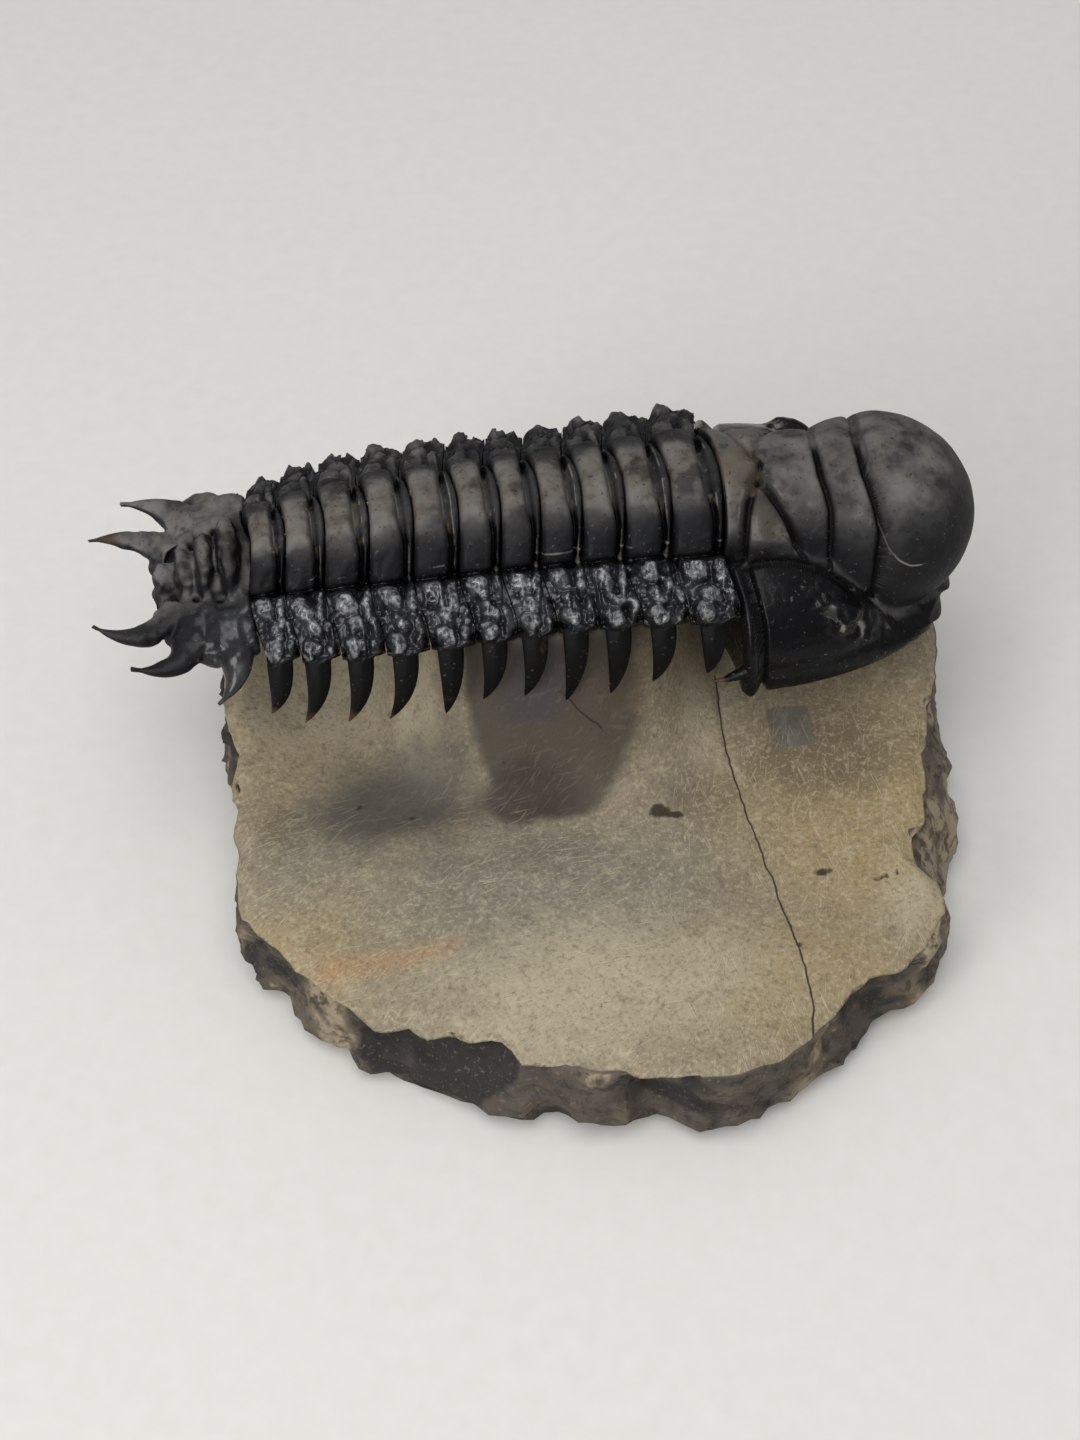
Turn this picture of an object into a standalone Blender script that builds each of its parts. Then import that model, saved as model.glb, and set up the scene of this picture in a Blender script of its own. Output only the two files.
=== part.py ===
"""A fossil trilobite standing on a pedestal of its own limestone.

The head shield, the eleven segments of the thorax and the tail shield are separate plates, as they were
in life. Each is a closed solid with a flat rock-filled underside. The limestone block is one solid, carved
hollow round a pillar that carries the middle of the thorax.

Body frame: x runs forward along the animal, y to its left, z up from the level of the axial furrows.
Row frame: origin under the middle of the whole object on its resting face, +X towards the head, +Z up.
"""

import math

import bmesh
import bpy
import numpy as np

MM = 0.001  # the sizes below are millimetres, and Blender's unit is the metre
GAP = 0.3  # free space between neighbouring plates, and between the pillar and the plates it carries

# Place of the body frame in the row frame
BODY_X = 0.78
BODY_Y = 13.64
BODY_Z = 31.5
ROLL = math.radians(4)  # the animal leans a little to its right
DROOP = ((-41.5, -3.6), (-34.0, -2.6), (-28.0, -1.6), (-20.0, -0.5), (-10.0, 0.0), (38.0, 0.0))

# Thorax: front edge of the first segment, then each segment's length from front to back
THORAX_FRONT = 14.5
SEGMENT_LENGTHS = (4.6, 4.1, 3.8, 3.7, 3.5, 3.7, 4.0, 3.9, 3.9, 3.5, 3.1)
THORAX_BACK = THORAX_FRONT - sum(SEGMENT_LENGTHS)
RING_HALF_WIDTH = ((-28.0, 4.6), (-26.0, 5.0), (-19.0, 5.8), (0.0, 6.4), (11.0, 7.0), (15.0, 7.5))
RING_HEIGHT = ((-28.0, 2.9), (-22.0, 3.5), (-10.0, 4.0), (15.0, 4.1))
PLEURA_EDGE = ((-28.0, 9.6), (-26.0, 10.4), (-20.0, 11.6), (0.0, 11.9), (13.0, 12.8))
PLEURA_DROP = ((-28.0, 2.4), (-20.0, 2.2), (0.0, 1.9), (13.0, 1.9))
SPINE_DROP = (7.9, 8.7, 10.2, 10.8, 9.4, 9.0, 10.2, 9.9, 9.8, 9.5, 8.2)
SPINE_SWEEP = (0.4, 0.8, 0.6, 0.8, 0.9, 1.0, 0.6, 1.5, 1.3, 1.4, 1.0)
SPINE_SPLAY = 1.3
SPINE_HALF_WIDTH = 1.15
SPINE_THICKNESS = 1.35
BELLY = -3.4
RING_BOW = 0.6
PLEURA_LEAD = 0.8
PLEURA_SPAN = 5.4

# Height across one segment from its back edge (-1) to its front edge (1): ring, furrow, half ring
RING_PROFILE = (
    (-1.0, -0.75), (-0.85, -0.2), (-0.5, 0.0), (0.0, 0.0), (0.35, -0.25),
    (0.58, -1.15), (0.8, -0.6), (1.0, -1.1),
)
# Knobs on the inner pleura: place across (-1 to 1), place outwards (0 to 1), radii, height
KNOBS = (
    (-0.2, 0.27, 0.55, 0.22, 0.85),
    (-0.42, 0.8, 0.42, 0.22, 0.7),
    (0.8, 0.3, 0.14, 0.4, 0.5),
    (0.6, 0.8, 0.34, 0.2, 0.6),
)
KNOB_FLOOR = -0.45

# Head shield, in the body frame
HEAD_CENTRE = (23.0, 0.0, -6.5)
HEAD_RING = 7.3
HEAD_REACH = 26.0
HEAD_TRIANGLES = 2400
FRONT_LOBE = (29.7, 0.0, -4.6)
FRONT_LOBE_RADII = (9.2, 9.3, 9.1)
GLABELLA_HALF_WIDTH = ((12.0, 7.6), (16.0, 7.4), (20.5, 7.1), (25.5, 7.9), (29.0, 9.2))
GLABELLA_CREST = ((12.0, 4.0), (17.0, 4.1), (21.0, 3.8), (25.5, 4.1), (29.0, 4.2))
GLABELLA_ROOT = ((12.0, -0.6), (17.0, -0.9), (21.0, -2.0), (25.5, -4.6), (29.0, -4.9))
# Furrows of the glabella in plan: points (x, distance from the midline), depth, half-width
GLABELLA_FURROWS = (
    (((27.8, 0.0), (27.8, 2.2), (28.4, 5.2), (28.7, 6.8), (28.2, 8.5), (26.9, 9.0), (24.6, 8.2)), 1.0, 0.5),
    (((23.9, 0.0), (23.9, 1.9), (24.4, 4.6), (24.2, 7.6)), 0.8, 0.45),
    (((18.8, 0.0), (18.3, 2.8), (19.7, 5.1), (21.3, 7.2)), 1.0, 0.5),
    (((18.3, 2.8), (17.1, 5.1), (16.5, 7.0), (16.3, 8.0)), 1.0, 0.5),
)
AXIAL_FURROW = ((15.0, 7.3), (18.6, 7.2), (21.2, 7.3), (24.0, 7.9), (25.8, 8.9))
CHEEK_CENTRE = (16.0, 0.0, -10.9)
CHEEK_REACH = (21.8, 14.6)
CHEEK_HEIGHT = ((12.0, 10.6), (22.0, 10.6), (26.0, 9.2), (30.0, 5.2), (34.0, 4.0), (38.5, 4.0))
CHEEK_SQUARENESS = 2.2
HEAD_BELLY = -10.4
EYE = (24.0, 10.4, -4.2)
EYE_RADII = (2.2, 1.7, 1.6)
GENAL_SPINE = ((16.4, 13.7, -8.0), (14.6, 14.5, -8.6), (12.6, 14.3, -8.8))
GENAL_SPINE_RADIUS = 0.75

# Tail shield, in the body frame
TAIL_CENTRE = (-29.6, 0.0, -1.9)
TAIL_REACH = 12.0
TAIL_TRIANGLES = 1150
TAIL_PLATE = (-29.2, 0.0, -2.8)
TAIL_PLATE_RADII = (7.3, 9.6, 3.0)
TAIL_RINGS = ((-28.9, 4.2, 2.5), (-31.0, 3.5, 1.8), (-33.0, 2.7, 1.0), (-34.8, 1.9, 0.2))
TAIL_BELLY = -3.6
# Spines of the tail: root, elbow and tip of each on the left side, and the radius at the root
TAIL_SPINES = (
    ((-30.2, 6.0, -1.6), (-28.9, 11.6, -2.6), (-31.2, 12.1, -4.6), 1.55),
    ((-32.0, 5.0, -1.7), (-33.6, 10.3, -3.1), (-38.0, 9.6, -1.7), 1.75),
    ((-33.5, 3.0, -1.6), (-37.0, 7.0, -2.4), (-40.7, 4.9, 0.1), 1.55),
)

# Limestone block: outline in plan (x, y in the body frame) at its widest, anticlockwise from the left rear,
# with how far the carved top stops short of it
OUTLINE = (
    (-28.5, 12.5, 1.0), (-31.4, 4.0, 0.8), (-30.6, -8.0, 0.5), (-31.2, -19.0, 0.5), (-31.9, -24.2, 0.8),
    (-28.4, -29.4, 1.5), (-23.6, -35.2, 2.4), (-17.8, -41.0, 4.0), (-11.0, -43.6, 3.2), (-7.5, -44.3, 1.8),
    (-1.0, -45.5, 2.2), (4.0, -46.7, 1.0), (10.0, -47.2, 2.8), (14.0, -45.8, 1.0), (17.2, -43.8, 3.0),
    (22.7, -40.8, 3.2), (28.0, -36.8, 1.4), (31.8, -32.1, 1.2), (33.2, -28.0, 4.5), (35.6, -22.0, 5.4),
    (36.3, -14.0, 3.6), (39.0, -4.0, 3.6), (38.8, 5.0, 3.0), (35.0, 12.5, 2.0), (24.0, 16.6, 1.4),
    (8.0, 17.9, 1.0), (-10.0, 17.6, 1.0), (-22.0, 16.4, 1.0),
)
FLOOR = 10.4
WAIST_HEIGHT = 4.2
FOOT_SHARE = 0.945
PILLAR_CENTRE = (-1.6, 0.0)
PILLAR_TOP = (11.4, 10.9)
PILLAR_FLARE = 7.5
PILLAR_SQUARENESS = 3.0

# Name, colour and roughness of the two materials
SHELL = ("black calcite", (0.035, 0.036, 0.038, 1.0), 0.4)
STONE = ("limestone", (0.36, 0.32, 0.26, 1.0), 0.85)


def ease(value, low, high):
    """0 up to low, 1 from high, and a smooth step between."""
    t = np.clip((value - low) / (high - low), 0.0, 1.0)
    return t * t * (3 - 2 * t)


def curve(points, at):
    """A smooth curve through a few (place, value) points."""
    place, value = np.array(points, float).T
    slope = np.gradient(value, place)
    at = np.clip(at, place[0], place[-1])
    i = np.clip(np.searchsorted(place, at) - 1, 0, len(place) - 2)
    span = place[i + 1] - place[i]
    t = (at - place[i]) / span
    start = (2 * t**3 - 3 * t**2 + 1) * value[i] + (t**3 - 2 * t**2 + t) * span * slope[i]
    end = (3 * t**2 - 2 * t**3) * value[i + 1] + (t**3 - t**2) * span * slope[i + 1]
    return start + end


def bezier(root, elbow, tip, t):
    """Points along a bend from root to tip, pulled towards the elbow."""
    t = np.asarray(t, float)[..., None]
    return (1 - t) ** 2 * np.array(root) + 2 * t * (1 - t) * np.array(elbow) + t**2 * np.array(tip)


def distance_to_line(x, y, points):
    """Distance in plan from each (x, y) to a line through a few points."""
    nearest = np.full(np.shape(x), 1e9)
    for (x0, y0), (x1, y1) in zip(points, points[1:]):
        dx, dy = x1 - x0, y1 - y0
        t = np.clip(((x - x0) * dx + (y - y0) * dy) / (dx * dx + dy * dy), 0, 1)
        nearest = np.minimum(nearest, np.hypot(x - x0 - t * dx, y - y0 - t * dy))
    return nearest


def to_row(points):
    """Points of the body frame, in millimetres, as points of the row frame in metres."""
    x, y, z = np.moveaxis(np.array(points, float), -1, 0)
    z = z + curve(DROOP, x)
    turned = np.stack([x, y * math.cos(ROLL) - z * math.sin(ROLL), z * math.cos(ROLL) + y * math.sin(ROLL)], -1)
    return (turned + (BODY_X, BODY_Y, BODY_Z)) * MM


def make_material(name, colour, roughness):
    material = bpy.data.materials.new(name)
    material.use_nodes = True
    shader = material.node_tree.nodes["Principled BSDF"]
    shader.inputs["Base Color"].default_value = colour
    shader.inputs["Roughness"].default_value = roughness
    material.diffuse_color = colour
    return material


def make_object(name, mesh, look, collection):
    substance, colour, roughness = look
    mesh.materials.clear()
    mesh.materials.append(make_material(f"{substance} of {name}", colour, roughness))
    mesh.shade_smooth()
    mesh.set_sharp_from_angle(angle=math.radians(35))
    made = bpy.data.objects.new(name, mesh)
    collection.objects.link(made)
    return made


def loft(name, loops):
    """A closed mesh through loops of points, with a flat cap on the first and last."""
    count, around, _ = loops.shape
    mesh = bpy.data.meshes.new(name)
    faces = [
        (i * around + j, i * around + (j + 1) % around,
         (i + 1) * around + (j + 1) % around, (i + 1) * around + j)
        for i in range(count - 1)
        for j in range(around)
    ]
    faces.append(tuple(range(around))[::-1])
    faces.append(tuple((count - 1) * around + j for j in range(around)))
    mesh.from_pydata([tuple(p) for p in loops.reshape(-1, 3)], [], faces)
    turn_outwards(mesh)
    return mesh


def turn_outwards(mesh):
    shape = bmesh.new()
    shape.from_mesh(mesh)
    bmesh.ops.recalc_face_normals(shape, faces=shape.faces)
    shape.to_mesh(mesh)
    shape.free()


def joined(mesh, others):
    """The mesh with other closed meshes fused to it."""
    body = bpy.data.objects.new("fused", mesh)
    bpy.context.scene.collection.objects.link(body)
    helpers = []
    for other in others:
        helper = bpy.data.objects.new("helper", other)
        bpy.context.scene.collection.objects.link(helper)
        union = body.modifiers.new("union", "BOOLEAN")
        union.operation = "UNION"
        union.object = helper
        helpers.append(helper)
    graph = bpy.context.evaluated_depsgraph_get()
    result = bpy.data.meshes.new_from_object(body.evaluated_get(graph))
    for helper in [body, *helpers]:
        bpy.data.objects.remove(helper)
    return result


def slimmed(mesh, triangles):
    """The mesh with no more triangles than asked for, kept where the surface bends most."""
    body = bpy.data.objects.new("slimmed", mesh)
    bpy.context.scene.collection.objects.link(body)
    decimate = body.modifiers.new("fewer triangles", "DECIMATE")
    decimate.ratio = triangles / sum(len(face.vertices) - 2 for face in mesh.polygons)
    decimate.use_collapse_triangulate = True
    decimate.use_symmetry = True
    decimate.symmetry_axis = "Y"
    graph = bpy.context.evaluated_depsgraph_get()
    result = bpy.data.meshes.new_from_object(body.evaluated_get(graph))
    bpy.data.objects.remove(body)
    return result


# Plates of the thorax


def lead(y, ring):
    """How far forward of its furrow a plate's edges run at a distance y from the midline."""
    y = np.abs(y)
    bow = RING_BOW * (1 - np.clip(y / ring, 0, 1) ** 2)
    return bow + PLEURA_LEAD * ease(y - ring, 0.0, PLEURA_SPAN)


def relief(across, out):
    """Height of a segment's surface: out is 0 to 1 on the ring and 1 to 2 on the inner pleura."""
    ring = curve(RING_PROFILE, across)
    pleura = np.full(np.shape(across + out), KNOB_FLOOR)
    for place, spot, wide, long, height in KNOBS:
        reach = ((across - place) / wide) ** 2 + ((out - 1 - spot) / long) ** 2
        pleura = pleura + height * np.exp(-(reach**1.5))
    side = ease(out, 0.93, 1.1)
    furrow = 0.5 * np.exp(-(((out - 1.02) / 0.07) ** 2))
    return ring * (1 - side) + pleura * side - furrow


def segment_loops(number, stations, outer, inner):
    """Loops of points round one segment, from the tip of its right spine to the tip of its left one.

    A station is 0 on the midline, 1 at the axial furrow, 2 at the edge of the pleura, 3 at the spine's tip.
    """
    front = THORAX_FRONT - sum(SEGMENT_LENGTHS[:number])
    length = SEGMENT_LENGTHS[number]
    middle = front - length / 2
    ring, height = curve(RING_HALF_WIDTH, middle), curve(RING_HEIGHT, middle)
    edge, drop = curve(PLEURA_EDGE, middle), curve(PLEURA_DROP, middle)
    tip = np.array((edge + SPINE_SPLAY, -SPINE_DROP[number]))

    u = np.asarray(stations, float)
    turn = np.clip(u, 0, 1) * math.pi / 2
    out = np.clip(u - 1, 0, 1)
    tau = np.clip(u - 2, 0, 1)
    upper = np.stack([np.where(u < 1, ring * np.sin(turn), ring + (edge - ring) * out),
                      np.where(u < 1, height * np.cos(turn), -drop * out**1.5)], -1)
    lower = np.stack([0.93 * upper[:, 0], np.full(len(u), BELLY)], -1)
    lower[:, 1] = np.minimum(lower[:, 1], upper[:, 1] - 0.9)
    hub = (np.array((edge, -drop)) + np.array((0.93 * edge, min(BELLY, -drop - 0.9)))) / 2
    elbow = (tip[0] + 0.5, -drop - 2.4)
    horn = bezier(hub, elbow, tip, tau)
    freed = ease(tau, 0.0, 0.16)[:, None]
    on_spine = (u > 2)[:, None]
    upper = np.where(on_spine, horn + (np.array((edge, -drop)) - hub) * (1 - freed), upper)
    lower = np.where(on_spine, horn - (np.array((edge, -drop)) - hub) * (1 - freed), lower)
    lean = np.radians(curve(((0, 0), (0.7, 48), (1.0, 45), (1.15, 15), (1.6, 26), (2.0, 42),
                             (2.3, 80), (3.0, 95)), u))
    normal = np.stack([np.sin(lean), np.cos(lean)], -1)

    freed = freed[:, 0]
    taper = np.clip(1 - tau**2.4, 0.004, 1) ** 0.75
    half = (1 - freed) * (length - GAP) / 2 + freed * SPINE_HALF_WIDTH * taper
    thick = freed * SPINE_THICKNESS * taper / 2
    centre = middle + lead(np.minimum(upper[:, 0], edge), ring) - 0.35 * freed - SPINE_SWEEP[number] * tau**2

    def skin(line, across, raised):
        places = line[:, None, :] + normal[:, None, :] * raised[..., None]
        x = centre[:, None] + half[:, None] * across
        return np.concatenate([x[..., None], places], -1)

    s_out = np.broadcast_to(np.asarray(outer, float), (len(u), len(outer)))
    s_in = np.asarray(inner, float)[None, :] * (1 - 0.2 * freed[:, None])
    round_out = thick[:, None] * np.sqrt(np.clip(1 - s_out**2, 0, 1))
    round_in = thick[:, None] * np.sqrt(np.clip(1 - s_in**2, 0, 1))
    raised = relief(s_out, np.minimum(u, 2)[:, None]) * (1 - freed[:, None])
    half_loops = np.concatenate([skin(upper, s_out, raised + round_out), skin(lower, s_in, -round_in)], 1)
    other = half_loops[:0:-1].copy()
    other[..., 1] *= -1
    return np.concatenate([other, half_loops], 0)


def thoracic_segment(number, collection):
    stations = (0, 0.36, 0.68, 0.92, 1.04, 1.27, 1.55, 1.8, 2.0, 2.2, 2.6, 3.0)
    outer = (-1.0, -0.82, -0.25, 0.3, 0.58, 0.8, 1.0)
    inner = (1.0, -1.0)
    name = f"thoracic_segment_{number + 1:02d}"
    mesh = loft(name, to_row(segment_loops(number, stations, outer, inner)))
    return make_object(name, mesh, SHELL, collection)


# Shields of the head and tail


def soft_max(values, sharpness):
    """The largest of several fields, with a fillet where two are alike."""
    values = np.stack(values)
    top = values.max(0)
    return top + np.log(np.exp(sharpness * (values - top)).sum(0)) / sharpness


def ellipsoid(x, y, z, centre, radii):
    reach = np.sqrt(((x - centre[0]) / radii[0]) ** 2 + ((y - centre[1]) / radii[1]) ** 2
                    + ((z - centre[2]) / radii[2]) ** 2)
    return (1 - reach) * min(radii)


def head_field(x, y, z):
    """Positive inside the head shield, and roughly the depth in millimetres."""
    side = np.abs(y)
    front = ellipsoid(x, y, z, FRONT_LOBE, FRONT_LOBE_RADII)
    wide, root = curve(GLABELLA_HALF_WIDTH, x), curve(GLABELLA_ROOT, x)
    tall = curve(GLABELLA_CREST, x) - root
    rear = (1 - np.sqrt((y / wide) ** 2 + ((z - root) / tall) ** 2)) * wide
    rear = rear - 4 * np.clip(x - FRONT_LOBE[0], 0, None)
    glabella = soft_max([front, rear], 3.0)
    for points, depth, half_width in GLABELLA_FURROWS:
        away = distance_to_line(x, side, points) / half_width
        cut = depth * (0.6 * np.exp(-(away**2)) + 0.4 * np.exp(-((away / 3) ** 2)))
        glabella = glabella - cut * ease(z, -11.0, -6.0)

    power = CHEEK_SQUARENESS
    tall = curve(CHEEK_HEIGHT, x)
    reach = ((np.abs(x - CHEEK_CENTRE[0]) / CHEEK_REACH[0]) ** power + (side / CHEEK_REACH[1]) ** power
             + (np.abs(z - CHEEK_CENTRE[2]) / tall) ** power) ** (1 / power)
    cheek = (1 - reach) * tall
    back = THORAX_FRONT + GAP / 2 + lead(side, HEAD_RING)
    rim = 0.35 * np.exp(-(((x - back - 0.9) / 0.6) ** 2)) - 0.6 * np.exp(-(((x - back - 2.3) / 0.55) ** 2))
    lift = z - HEAD_BELLY
    border = 0.3 * np.exp(-(((lift - 1.0) / 1.0) ** 2)) - 0.35 * np.exp(-(((lift - 2.8) / 0.5) ** 2))
    cheek = cheek + rim + border * ease(x, back + 1.5, back + 3.0)
    eye = ellipsoid(x, side, z, EYE, EYE_RADII)
    shield = soft_max([glabella, cheek, eye], 5.0)
    shield = shield - 0.6 * np.exp(-((distance_to_line(x, side, AXIAL_FURROW) / 0.45) ** 2))
    return -soft_max([-shield, HEAD_BELLY - z, back - x], 6.0)


def tail_field(x, y, z):
    """Positive inside the plate and rings of the tail shield."""
    plate = ellipsoid(x, y, z, TAIL_PLATE, TAIL_PLATE_RADII)
    rings = [ellipsoid(x, y, z, (place, 0.0, -0.6), (1.25, wide, tall + 0.6)) for place, wide, tall in TAIL_RINGS]
    shield = soft_max([plate, *rings], 5.0)
    front = THORAX_BACK - GAP / 2 + lead(y, 4.6)
    return -soft_max([-shield, TAIL_BELLY - z, x - front], 6.0)


def shrink_wrap(name, field, centre, reach, around, rows, top_share):
    """A sphere whose points are drawn out from the centre to the surface of a field.

    Its poles point sideways, and top_share of its meridians lie over the upper half.
    """
    shape = bmesh.new()
    bmesh.ops.create_uvsphere(shape, u_segments=around, v_segments=rows, radius=1.0)
    shape.verts.ensure_lookup_table()
    unit = np.array([v.co for v in shape.verts])
    turn = np.arctan2(unit[:, 1], unit[:, 0]) / (2 * math.pi) % 1.0
    turn = np.where(turn < top_share, turn / top_share / 2, 0.5 + (turn - top_share) / (1 - top_share) / 2)
    flat = np.hypot(unit[:, 0], unit[:, 1])
    ways = np.stack([flat * np.cos(2 * math.pi * turn), unit[:, 2], flat * np.sin(2 * math.pi * turn)], -1)

    def inside(distance):
        points = np.array(centre) + ways * distance[:, None]
        return field(*points.T) > 0

    far = np.zeros(len(ways))
    for step in np.arange(0.25, reach, 0.25):
        far = np.where(inside(np.full(len(ways), step)), step, far)
    low, high = far, far + 0.25
    for _ in range(12):
        middle = (low + high) / 2
        held = inside(middle)
        low, high = np.where(held, middle, low), np.where(held, high, middle)
    for vertex, point in zip(shape.verts, to_row(np.array(centre) + ways * low[:, None])):
        vertex.co = point
    bmesh.ops.recalc_face_normals(shape, faces=shape.faces)
    mesh = bpy.data.meshes.new(name)
    shape.to_mesh(mesh)
    shape.free()
    return mesh


def horn(root, elbow, tip, radius, steps, sides, side):
    """A curved spine, flattened a little, for the left (1) or right (-1) of the body."""
    t = np.linspace(0, 1, steps)
    spine = bezier(root, elbow, tip, t) * (1, side, 1)
    way = np.gradient(spine, axis=0)
    way /= np.linalg.norm(way, axis=1)[:, None]
    across = np.cross(way, (0, 0, 1))
    across /= np.linalg.norm(across, axis=1)[:, None]
    upward = np.cross(across, way)
    size = radius * np.clip(1 - t**1.6, 0.03, 1)
    turn = np.linspace(0, 2 * math.pi, sides, endpoint=False)
    loops = (spine[:, None] + size[:, None, None]
             * (across[:, None] * np.cos(turn)[:, None] + 0.72 * upward[:, None] * np.sin(turn)[:, None]))
    return loft("horn", to_row(loops))


def head_shield(collection):
    mesh = shrink_wrap("cephalon", head_field, HEAD_CENTRE, HEAD_REACH, 160, 72, 0.78)
    spines = [horn(*GENAL_SPINE, GENAL_SPINE_RADIUS, 6, 12, side) for side in (1, -1)]
    return make_object("cephalon", slimmed(joined(mesh, spines), HEAD_TRIANGLES), SHELL, collection)


def tail_shield(collection):
    mesh = shrink_wrap("pygidium", tail_field, TAIL_CENTRE, TAIL_REACH, 80, 40, 0.7)
    spines = [horn(root, elbow, tip, radius, 12, 12, side)
              for root, elbow, tip, radius in TAIL_SPINES for side in (1, -1)]
    return make_object("pygidium", slimmed(joined(mesh, spines), TAIL_TRIANGLES), SHELL, collection)


# Limestone block


def pillar_share(x, y):
    """1 on the edge of the pillar's level top, less inside it and more outside."""
    return ((np.abs(x - PILLAR_CENTRE[0]) / PILLAR_TOP[0]) ** PILLAR_SQUARENESS
            + (np.abs(y - PILLAR_CENTRE[1]) / PILLAR_TOP[1]) ** PILLAR_SQUARENESS) ** (1 / PILLAR_SQUARENESS)


def ground(x, y):
    """Height of the carved stone at a place in plan: a worn floor that sweeps up into the pillar."""
    floor = FLOOR + 1.0 * np.sin(0.11 * x + 0.4) * np.cos(0.13 * y)
    floor = floor + 4.6 * ease(y, -16.0, 16.0) - 0.9 * ease(-y, 30.0, 47.0)
    floor = floor + 1.6 * ease(-x, 22.0, 33.0) * ease(y, -30.0, 0.0) + 1.2 * ease(x, 26.0, 38.0)
    outside = np.clip(pillar_share(x, y) - 1, 0, None) * min(PILLAR_TOP)
    rise = np.clip(1 - outside / PILLAR_FLARE, 0, 1)
    rise = 0.55 * rise**2.6 + 0.45 * rise**7
    top = BODY_Z + BELLY - GAP + math.tan(ROLL) * y
    return floor + (top - floor) * rise


def outline_at(turn):
    """Radius of the widest outline round the pillar, and how far the carved top stops short of it."""
    x, y, short = np.array(OUTLINE).T
    bearing = np.arctan2(y - PILLAR_CENTRE[1], x - PILLAR_CENTRE[0])
    radius = np.hypot(x - PILLAR_CENTRE[0], y - PILLAR_CENTRE[1])
    order = np.argsort(bearing)
    period = 2 * math.pi
    return (np.interp(turn, bearing[order], radius[order], period=period),
            np.interp(turn, bearing[order], short[order], period=period))


def block_loops(turns, top_shares, flare_shares, floor_shares):
    """Rings of points from the middle of the pillar's top, over the floor and the broken rim, to the foot."""
    wide, short = outline_at(turns)
    rim = wide - short
    cos, sin = np.cos(turns), np.sin(turns)
    level = 1 / pillar_share(PILLAR_CENTRE[0] + cos, PILLAR_CENTRE[1] + sin)
    flare = level * (1 + PILLAR_FLARE / min(PILLAR_TOP))
    radii = [share * level for share in top_shares]
    radii += [level + share * (flare - level) for share in flare_shares]
    radii += [flare + share * (rim - flare) for share in floor_shares]
    rings = []
    for radius in radii:
        x, y = PILLAR_CENTRE[0] + radius * cos, PILLAR_CENTRE[1] + radius * sin
        rings.append(np.stack([x, y, ground(x, y)], -1))
    rough = np.random.default_rng(7).uniform(-1, 1, (3, len(turns)))
    edge = rings[-1][:, 2]
    for row, (share, height) in enumerate(((0.55, 0.68), (1.0, 0.0), (0.97, -0.6))):
        radius = rim + share * short + 0.5 * rough[row]
        z = WAIST_HEIGHT + height * (edge - WAIST_HEIGHT if height > 0 else WAIST_HEIGHT) + 0.5 * rough[row]
        rings.append(np.stack([PILLAR_CENTRE[0] + radius * cos, PILLAR_CENTRE[1] + radius * sin, z], -1))
    foot = FOOT_SHARE * wide
    rings.append(np.stack([PILLAR_CENTRE[0] + foot * cos, PILLAR_CENTRE[1] + foot * sin, 0 * foot], -1))
    return np.array(rings)


def stone_block(collection):
    turns = np.linspace(0, 2 * math.pi, 48, endpoint=False)
    top_shares, flare_shares, floor_shares = (0.3, 1.0), (0.1, 0.28, 0.6, 1.0), (0.22, 0.45, 0.68, 0.88, 1.0)
    loops = block_loops(turns, top_shares, flare_shares, floor_shares)
    loops[..., 0] += BODY_X
    loops[..., 1] += BODY_Y
    return make_object("limestone_matrix", loft("limestone_matrix", loops * MM), STONE, collection)


def main():
    for old in list(bpy.data.objects):
        bpy.data.objects.remove(old)
    collection = bpy.data.collections.new("fossil_trilobite")
    bpy.context.scene.collection.children.link(collection)
    head_shield(collection)
    for number in range(len(SEGMENT_LENGTHS)):
        thoracic_segment(number, collection)
    tail_shield(collection)
    stone_block(collection)


main()
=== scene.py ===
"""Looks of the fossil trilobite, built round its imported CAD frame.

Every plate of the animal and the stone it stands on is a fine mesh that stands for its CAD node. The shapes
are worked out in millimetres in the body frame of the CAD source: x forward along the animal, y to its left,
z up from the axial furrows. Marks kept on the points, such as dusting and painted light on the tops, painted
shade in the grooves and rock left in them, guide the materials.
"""

import math
from functools import partial

import bmesh
import bpy
import numpy as np
from mathutils import Matrix


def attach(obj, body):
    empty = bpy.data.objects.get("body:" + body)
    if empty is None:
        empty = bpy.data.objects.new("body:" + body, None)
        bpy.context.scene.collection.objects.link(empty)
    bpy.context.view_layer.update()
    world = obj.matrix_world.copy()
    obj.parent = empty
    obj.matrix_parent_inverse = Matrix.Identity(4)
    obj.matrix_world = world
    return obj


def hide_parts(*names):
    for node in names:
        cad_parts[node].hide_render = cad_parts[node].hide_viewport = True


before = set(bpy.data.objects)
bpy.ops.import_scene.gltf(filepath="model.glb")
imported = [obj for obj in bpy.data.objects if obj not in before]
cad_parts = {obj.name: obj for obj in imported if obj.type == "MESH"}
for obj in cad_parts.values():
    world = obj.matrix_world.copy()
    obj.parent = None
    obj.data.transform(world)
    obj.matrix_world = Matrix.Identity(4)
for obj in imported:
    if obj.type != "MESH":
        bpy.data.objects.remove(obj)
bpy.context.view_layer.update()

MM = 0.001  # the sizes below are millimetres, and Blender's unit is the metre

# Place of the body frame in the row frame, as in the CAD source
BODY_X = 0.78
BODY_Y = 13.64
BODY_Z = 31.5
ROLL = math.radians(4)
# How far the back end of the body hangs, by x
DROOP = ((-41.5, -3.6), (-34.0, -2.6), (-28.0, -1.6), (-20.0, -0.5), (-10.0, 0.0), (38.0, 0.0))

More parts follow.
